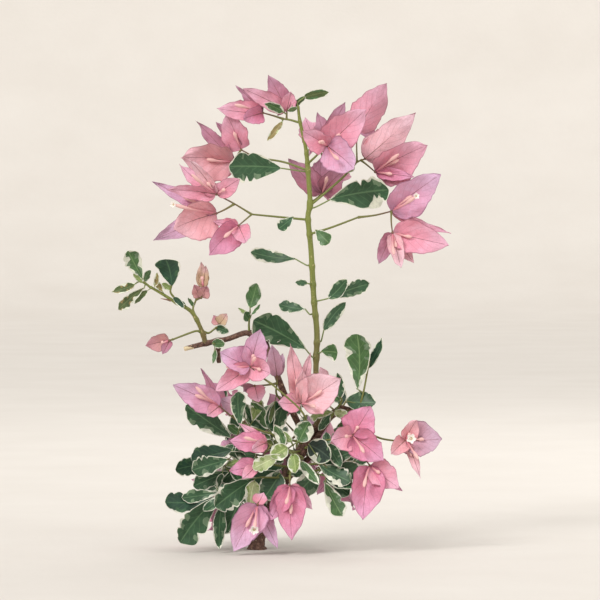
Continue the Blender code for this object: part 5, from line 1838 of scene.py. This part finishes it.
def add_knot(bm, centre, slot):
    """The small round knot where a bloom's bracts meet."""
    turn = Matrix.Translation(centre)
    made = bmesh.ops.create_icosphere(bm, subdivisions=2, radius=KNOT_SKIN_RADIUS, matrix=turn)
    for face in {face for vert in made["verts"] for face in vert.link_faces}:
        face.material_index = slot
        face.smooth = True


def both_sides(finishes, kind, skins, back):
    """The finishes of a sheet's faces, then the ones of their backs."""
    return [finishes[f"{kind}_{skin}{side}"] for side in ("", back) for skin in skins]


def leaves_piece(name, masses, finishes):
    """All the leaves of some masses."""
    bm = bmesh.new()
    slots = {skin: i for i, skin in enumerate(LEAF_SKINS)}
    for mass in masses:
        rng = random.Random(f"{mass.name} leaves")
        for blade in mass.leaves:
            add_blade(bm, LeafShape(blade, rng, slots))
    skins = both_sides(finishes, "leaf", LEAF_SKINS, "_under")
    finish_piece(name, bm, skins, "leaf", names_of(masses), LEAF_THICKNESS)


# A grown bloom takes one of these tones at random. The darkened rose among them is painted shade.
GROWN_BRACT_TONES = ("rose", "magenta", "lilac", "salmon", "dusky")


def bracts_piece(mass, ribs, finishes):
    """The bracts of a mass. Their midribs are added to a mesh of their own."""
    bm = bmesh.new()
    slots = {skin: i for i, skin in enumerate(BRACT_SKINS)}
    rng = random.Random(f"{mass.name} bracts")
    for bloom in mass.blooms:
        tone = rng.choice(GROWN_BRACT_TONES)
        for blade in bloom.bracts:
            blade.tone = blade.tone or tone
            shape = BractShape(blade, rng, slots)
            add_blade(bm, shape)
            add_rib(ribs, shape)
    skins = both_sides(finishes, "bract", BRACT_SKINS, "_back")
    finish_piece(f"{mass.name}_bracts", bm, skins, "bract", [mass.name], BRACT_THICKNESS)


# A flower's radii from its foot to its mouth: a waist, and then the swollen mouth.
FLOWER_PROFILE = (0.6, 0.9, 1.1, 1.2, 1.15, 1.05, 1.05, 1.25, 1.6, 1.9, 1.95, 1.6, 0.8)
FLOWER_SIDES = 10
FLOWER_BOW = 0.06  # of its length, either way
FLOWER_START = 0.08  # of the way from the knot to its mouth
FLOWERING_BRACT = 22.0  # a bract longer than this may have a flower on it
FLOWER_CHANCE = 0.42
FLOWER_FOOT = (0.05, 0.8)  # on its bract: the share of the length, and how far it stands off
FLOWER_MOUTH = ((0.30, 0.52), 3.2)
# An open flower has a wide star, and one that has only begun to open a small one.
STAR_RADII = {"open": 5.0, "opening": 3.2}
STAR_GRID = (40, 6)  # places round it and out from its middle
STAR_LOBES = 5
STAR_CLEFT = 0.30  # how deep the cuts between the lobes are, as a share of the radius
STAR_THROAT = 0.3  # of the radius
STAR_THICKNESS = 0.25
STAR_CUP = (1.2, 0.9)  # how far the rim stands up and the throat goes down
STAR_RUFFLE = 0.14  # of the radius
STAR_OFF = 0.6  # beyond the flower's mouth
STAR_TO_FRONT = 1.4  # how much a star turns to the front, to 1 along its flower


def add_flower(bm, start, tip, rng):
    """A slender tube with a waist and a swollen mouth."""
    reach = tip - start
    bow = reach.orthogonal().normalized() * reach.length * rng.uniform(-FLOWER_BOW, FLOWER_BOW)
    steps = len(FLOWER_PROFILE) - 1
    way = [
        start + reach * (i / steps) + bow * math.sin(math.pi * i / steps) for i in range(steps + 1)
    ]
    add_tube(bm, way, FLOWER_PROFILE, FLOWER_SIDES)


def add_star(bm, centre, facing, radius, rng):
    """Five blunt, ruffled lobes round the mouth of an open flower, round a green throat."""
    turn = facing.to_track_quat("Z", "Y")
    phase = rng.uniform(0, math.tau)
    rise, sink = STAR_CUP

    def place(u, v):
        angle = -u * math.tau
        lobe = STAR_LOBES * angle + phase
        reach = radius * v * (1 - STAR_CLEFT * v * (0.5 - 0.5 * math.cos(lobe)))
        ruffle = STAR_RUFFLE * radius * v * math.sin(2 * lobe)
        height = rise * v * v - sink * (1 - v) + ruffle
        return centre + turn @ Vector((math.cos(angle) * reach, math.sin(angle) * reach, height))

    add_grid(bm, *STAR_GRID, place, lambda u, v: int(v > STAR_THROAT))


def add_placed_flowers(bloom, tubes, stars, rng):
    """The flowers that the bloom's row gives, with a star where they are open."""
    for *tip, form in bloom.flowers:
        tip = Vector(tip)
        start = bloom.centre.lerp(tip, FLOWER_START)
        add_flower(tubes, start, tip, rng)
        if form in STAR_RADII:
            out = (tip - start).normalized()
            facing = (out + FRONT * STAR_TO_FRONT).normalized()
            add_star(stars, tip + out * STAR_OFF, facing, STAR_RADII[form], rng)


def add_chance_flowers(bloom, tubes, rng):
    """A flower along the inner side of some of the larger bracts."""
    foot, foot_off = FLOWER_FOOT
    mouth, mouth_off = FLOWER_MOUTH
    for blade in bloom.bracts:
        if blade.length > FLOWERING_BRACT and rng.random() < FLOWER_CHANCE:
            face = inner_face(blade)
            tip = blade.spine(rng.uniform(*mouth)) + face * mouth_off
            add_flower(tubes, blade.spine(foot) + face * foot_off, tip, rng)


def flowers_pieces(name, masses, finishes):
    """The flower tubes, and the open stars at the mouths of some."""
    tubes = bmesh.new()
    stars = bmesh.new()
    for mass in masses:
        rng = random.Random(f"{mass.name} flowers")
        for bloom in mass.blooms:
            add_placed_flowers(bloom, tubes, stars, rng)
            add_chance_flowers(bloom, tubes, rng)
    nodes = names_of(masses)
    finish_piece(f"{name}_flowers", tubes, [finishes["flower_tube"]], "bract", nodes)
    if stars.faces:
        skins = [finishes["flower_throat"], finishes["flower_star"]] * 2
        finish_piece(f"{name}_stars", stars, skins, "bract", nodes, STAR_THICKNESS)
    else:
        stars.free()


UNDERSIDE = (0.75, 0.06)  # a leaf's underside has this share of its colour, and this much white
BACK_FADE = 0.14  # how far the back of a bract goes to this colour
BACK_COLOUR = srgb(150, 112, 118)


def make_finishes():
    """Every finish by its name. Leaves and bracts have two of each skin, for the face and the back."""
    finishes = {
        "bark": bark_finish("bark", srgb(86, 62, 54), srgb(128, 98, 84), srgb(168, 146, 122)),
        "green_stem": shoot_finish(
            "green_shoot", srgb(106, 90, 56), srgb(124, 132, 64), srgb(90, 102, 50)
        ),
    }
    for name, colours in STALK_SKINS.items():
        finishes[name] = stalk_finish(name, *colours)
    for name, colours in FLOWER_SKINS.items():
        finishes[name] = flower_finish(name, *colours)
    share, white = UNDERSIDE
    for skin, (colour, vein) in LEAF_SKINS.items():
        name = f"leaf_{skin}"
        paler = (*(share * value + white for value in colour[:3]), 1.0)
        finishes[name] = leaf_finish(name, colour, vein, False)
        finishes[f"{name}_under"] = leaf_finish(f"{name}_under", paler, vein, True)
    for skin, (inner, outer, edge) in BRACT_SKINS.items():
        name = f"bract_{skin}"
        faded = [blended(colour, BACK_COLOUR, BACK_FADE) for colour in (inner, outer)]
        finishes[name] = bract_finish(name, inner, outer, edge, False)
        finishes[f"{name}_back"] = bract_finish(f"{name}_back", *faded, edge, True)
    return finishes


def blended(first, second, share):
    """The first colour, with this share of the second in it."""
    return tuple((1 - share) * a + share * b for a, b in zip(first, second))


def dress(bush, finishes):
    """Makes all the pieces of the bush."""
    masses = bush.masses
    for name in LIMBS:
        limb_skin(bush, name, finishes)
    shoot = [masses[row[0]] for row in SHOOT_LEAVES]
    sprays = [masses[row[0]] for row in SPRAYS if row[1] in ("main_shoot", "left_shoot", "left_arm")]
    crown = [masses[row[0]] for row in SPRAYS + LEAF_MASSES if masses[row[0]] not in sprays]
    back = [masses[row[0]] for row in GROWN_MASSES]
    groups = {"spray": sprays, "crown": crown, "back": back}
    stalks_piece("shoot_petioles", shoot, finishes)
    for name, group in groups.items():
        stalks_piece(f"{name}_stalks", group, finishes)
    leaves_piece("shoot_leaves", shoot, finishes)
    leaves_piece("spray_leaves", [mass for mass in sprays if mass.leaves], finishes)
    for mass in crown + back:
        if mass.leaves:
            leaves_piece(f"{mass.name}_leaves", [mass], finishes)
    for name, group in groups.items():
        blooming = [mass for mass in group if any(bloom.bracts for bloom in mass.blooms)]
        ribs = bmesh.new()
        for mass in blooming:
            bracts_piece(mass, ribs, finishes)
        finish_piece(f"{name}_ribs", ribs, [finishes["rib"]], "bract", names_of(blooming))
        flowers_pieces(name, blooming, finishes)


# ---------------------------------------------------------------- stage

VIEW_MIDDLE = Vector((0.043, 0.0, 0.25))
VIEW_DISTANCE = 5.0
VIEW_RISE = math.radians(2)
VIEW_WIDTH = 0.6
SENSOR = 36.0


def set_camera():
    data = bpy.data.cameras.new("camera")
    data.sensor_width = SENSOR
    data.lens = SENSOR * VIEW_DISTANCE / VIEW_WIDTH
    data.clip_end = 100.0
    camera = new_object("camera", data)
    back = Vector((0.0, -math.cos(VIEW_RISE), math.sin(VIEW_RISE)))
    camera.location = VIEW_MIDDLE + back * VIEW_DISTANCE
    camera.rotation_euler = (-back).to_track_quat("-Z", "Y").to_euler()
    bpy.context.scene.camera = camera


# The floor is a wide flat dish round the plant and the camera, with a raised rim all round.
FLOOR_COLOURS = (srgb(210, 204, 197), srgb(220, 215, 209))
FLOOR_RADIUS = 6.0
RIM_RADIUS = 2.0
FLOOR_RINGS = 6
RIM_RINGS = 12
FLOOR_SIDES = 96


def floor_profile():
    """The flat floor and the quarter turn at its rim, as distances from the middle and heights."""
    flat = [(FLOOR_RADIUS * i / FLOOR_RINGS, 0.0) for i in range(FLOOR_RINGS)]
    turns = [i / RIM_RINGS * math.pi / 2 for i in range(RIM_RINGS + 1)]
    rim = [(FLOOR_RADIUS + RIM_RADIUS * math.sin(t), RIM_RADIUS * (1 - math.cos(t))) for t in turns]
    return flat + rim


def set_floor():
    profile = floor_profile()
    last = len(profile) - 1
    bm = bmesh.new()

    def place(u, v):
        reach, height = profile[round(v * last)]
        angle = -u * math.tau
        return Vector((math.cos(angle) * reach, math.sin(angle) * reach, height))

    add_grid(bm, FLOOR_SIDES, last, place)
    pale = Finish("pale_floor", Roughness=0.9, Specular_IOR_Level=0.1)
    pale.give("Base Color", pale.mix(pale.noise(6.0, 4.0), *FLOOR_COLOURS))
    pale.bump(pale.noise(90.0, 4.0), 0.25, 0.002)
    floor = object_from("floor", bm, [pale.material])
    floor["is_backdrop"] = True


# A wide sun stands for a bright window, and lights the floor's rim as well as the plant.
KEY_FROM = Vector((-1.3, -1.9, 2.0))
KEY_STRENGTH = 1.75
KEY_SPREAD = math.radians(24)
# The softer lights: where each stands, its size and its power. They look at the middle of the plant.
SOFT_LIGHTS = {
    "fill": ((1.9, -1.6, 1.0), 1.8, 10.0),
    "back": ((0.9, 1.6, 1.8), 1.2, 14.0),
}
LIGHT_TINT = (1.0, 0.99, 0.975)
SKY_COLOUR = srgb(238, 236, 232)
SKY_STRENGTH = 0.96


def add_light(name, kind, place, energy):
    data = bpy.data.lights.new(name, kind)
    data.energy = energy
    data.color = LIGHT_TINT
    light = new_object(name, data)
    light.location = place
    light.rotation_euler = (VIEW_MIDDLE - light.location).to_track_quat("-Z", "Y").to_euler()
    return data


def set_lights():
    add_light("key", "SUN", KEY_FROM, KEY_STRENGTH).angle = KEY_SPREAD
    for name, (place, size, power) in SOFT_LIGHTS.items():
        add_light(name, "AREA", place, power).size = size
    world = bpy.data.worlds.new("studio")
    world.use_nodes = True
    sky = world.node_tree.nodes["Background"]
    sky.inputs["Color"].default_value = SKY_COLOUR
    sky.inputs["Strength"].default_value = SKY_STRENGTH
    bpy.context.scene.world = world
    bpy.context.scene.view_settings.view_transform = "Standard"


set_camera()
set_floor()
set_lights()
dress(grow_bush(), make_finishes())

boxes = [[list(map(float, corner)) for corner in box] for box in (solid_box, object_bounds())]
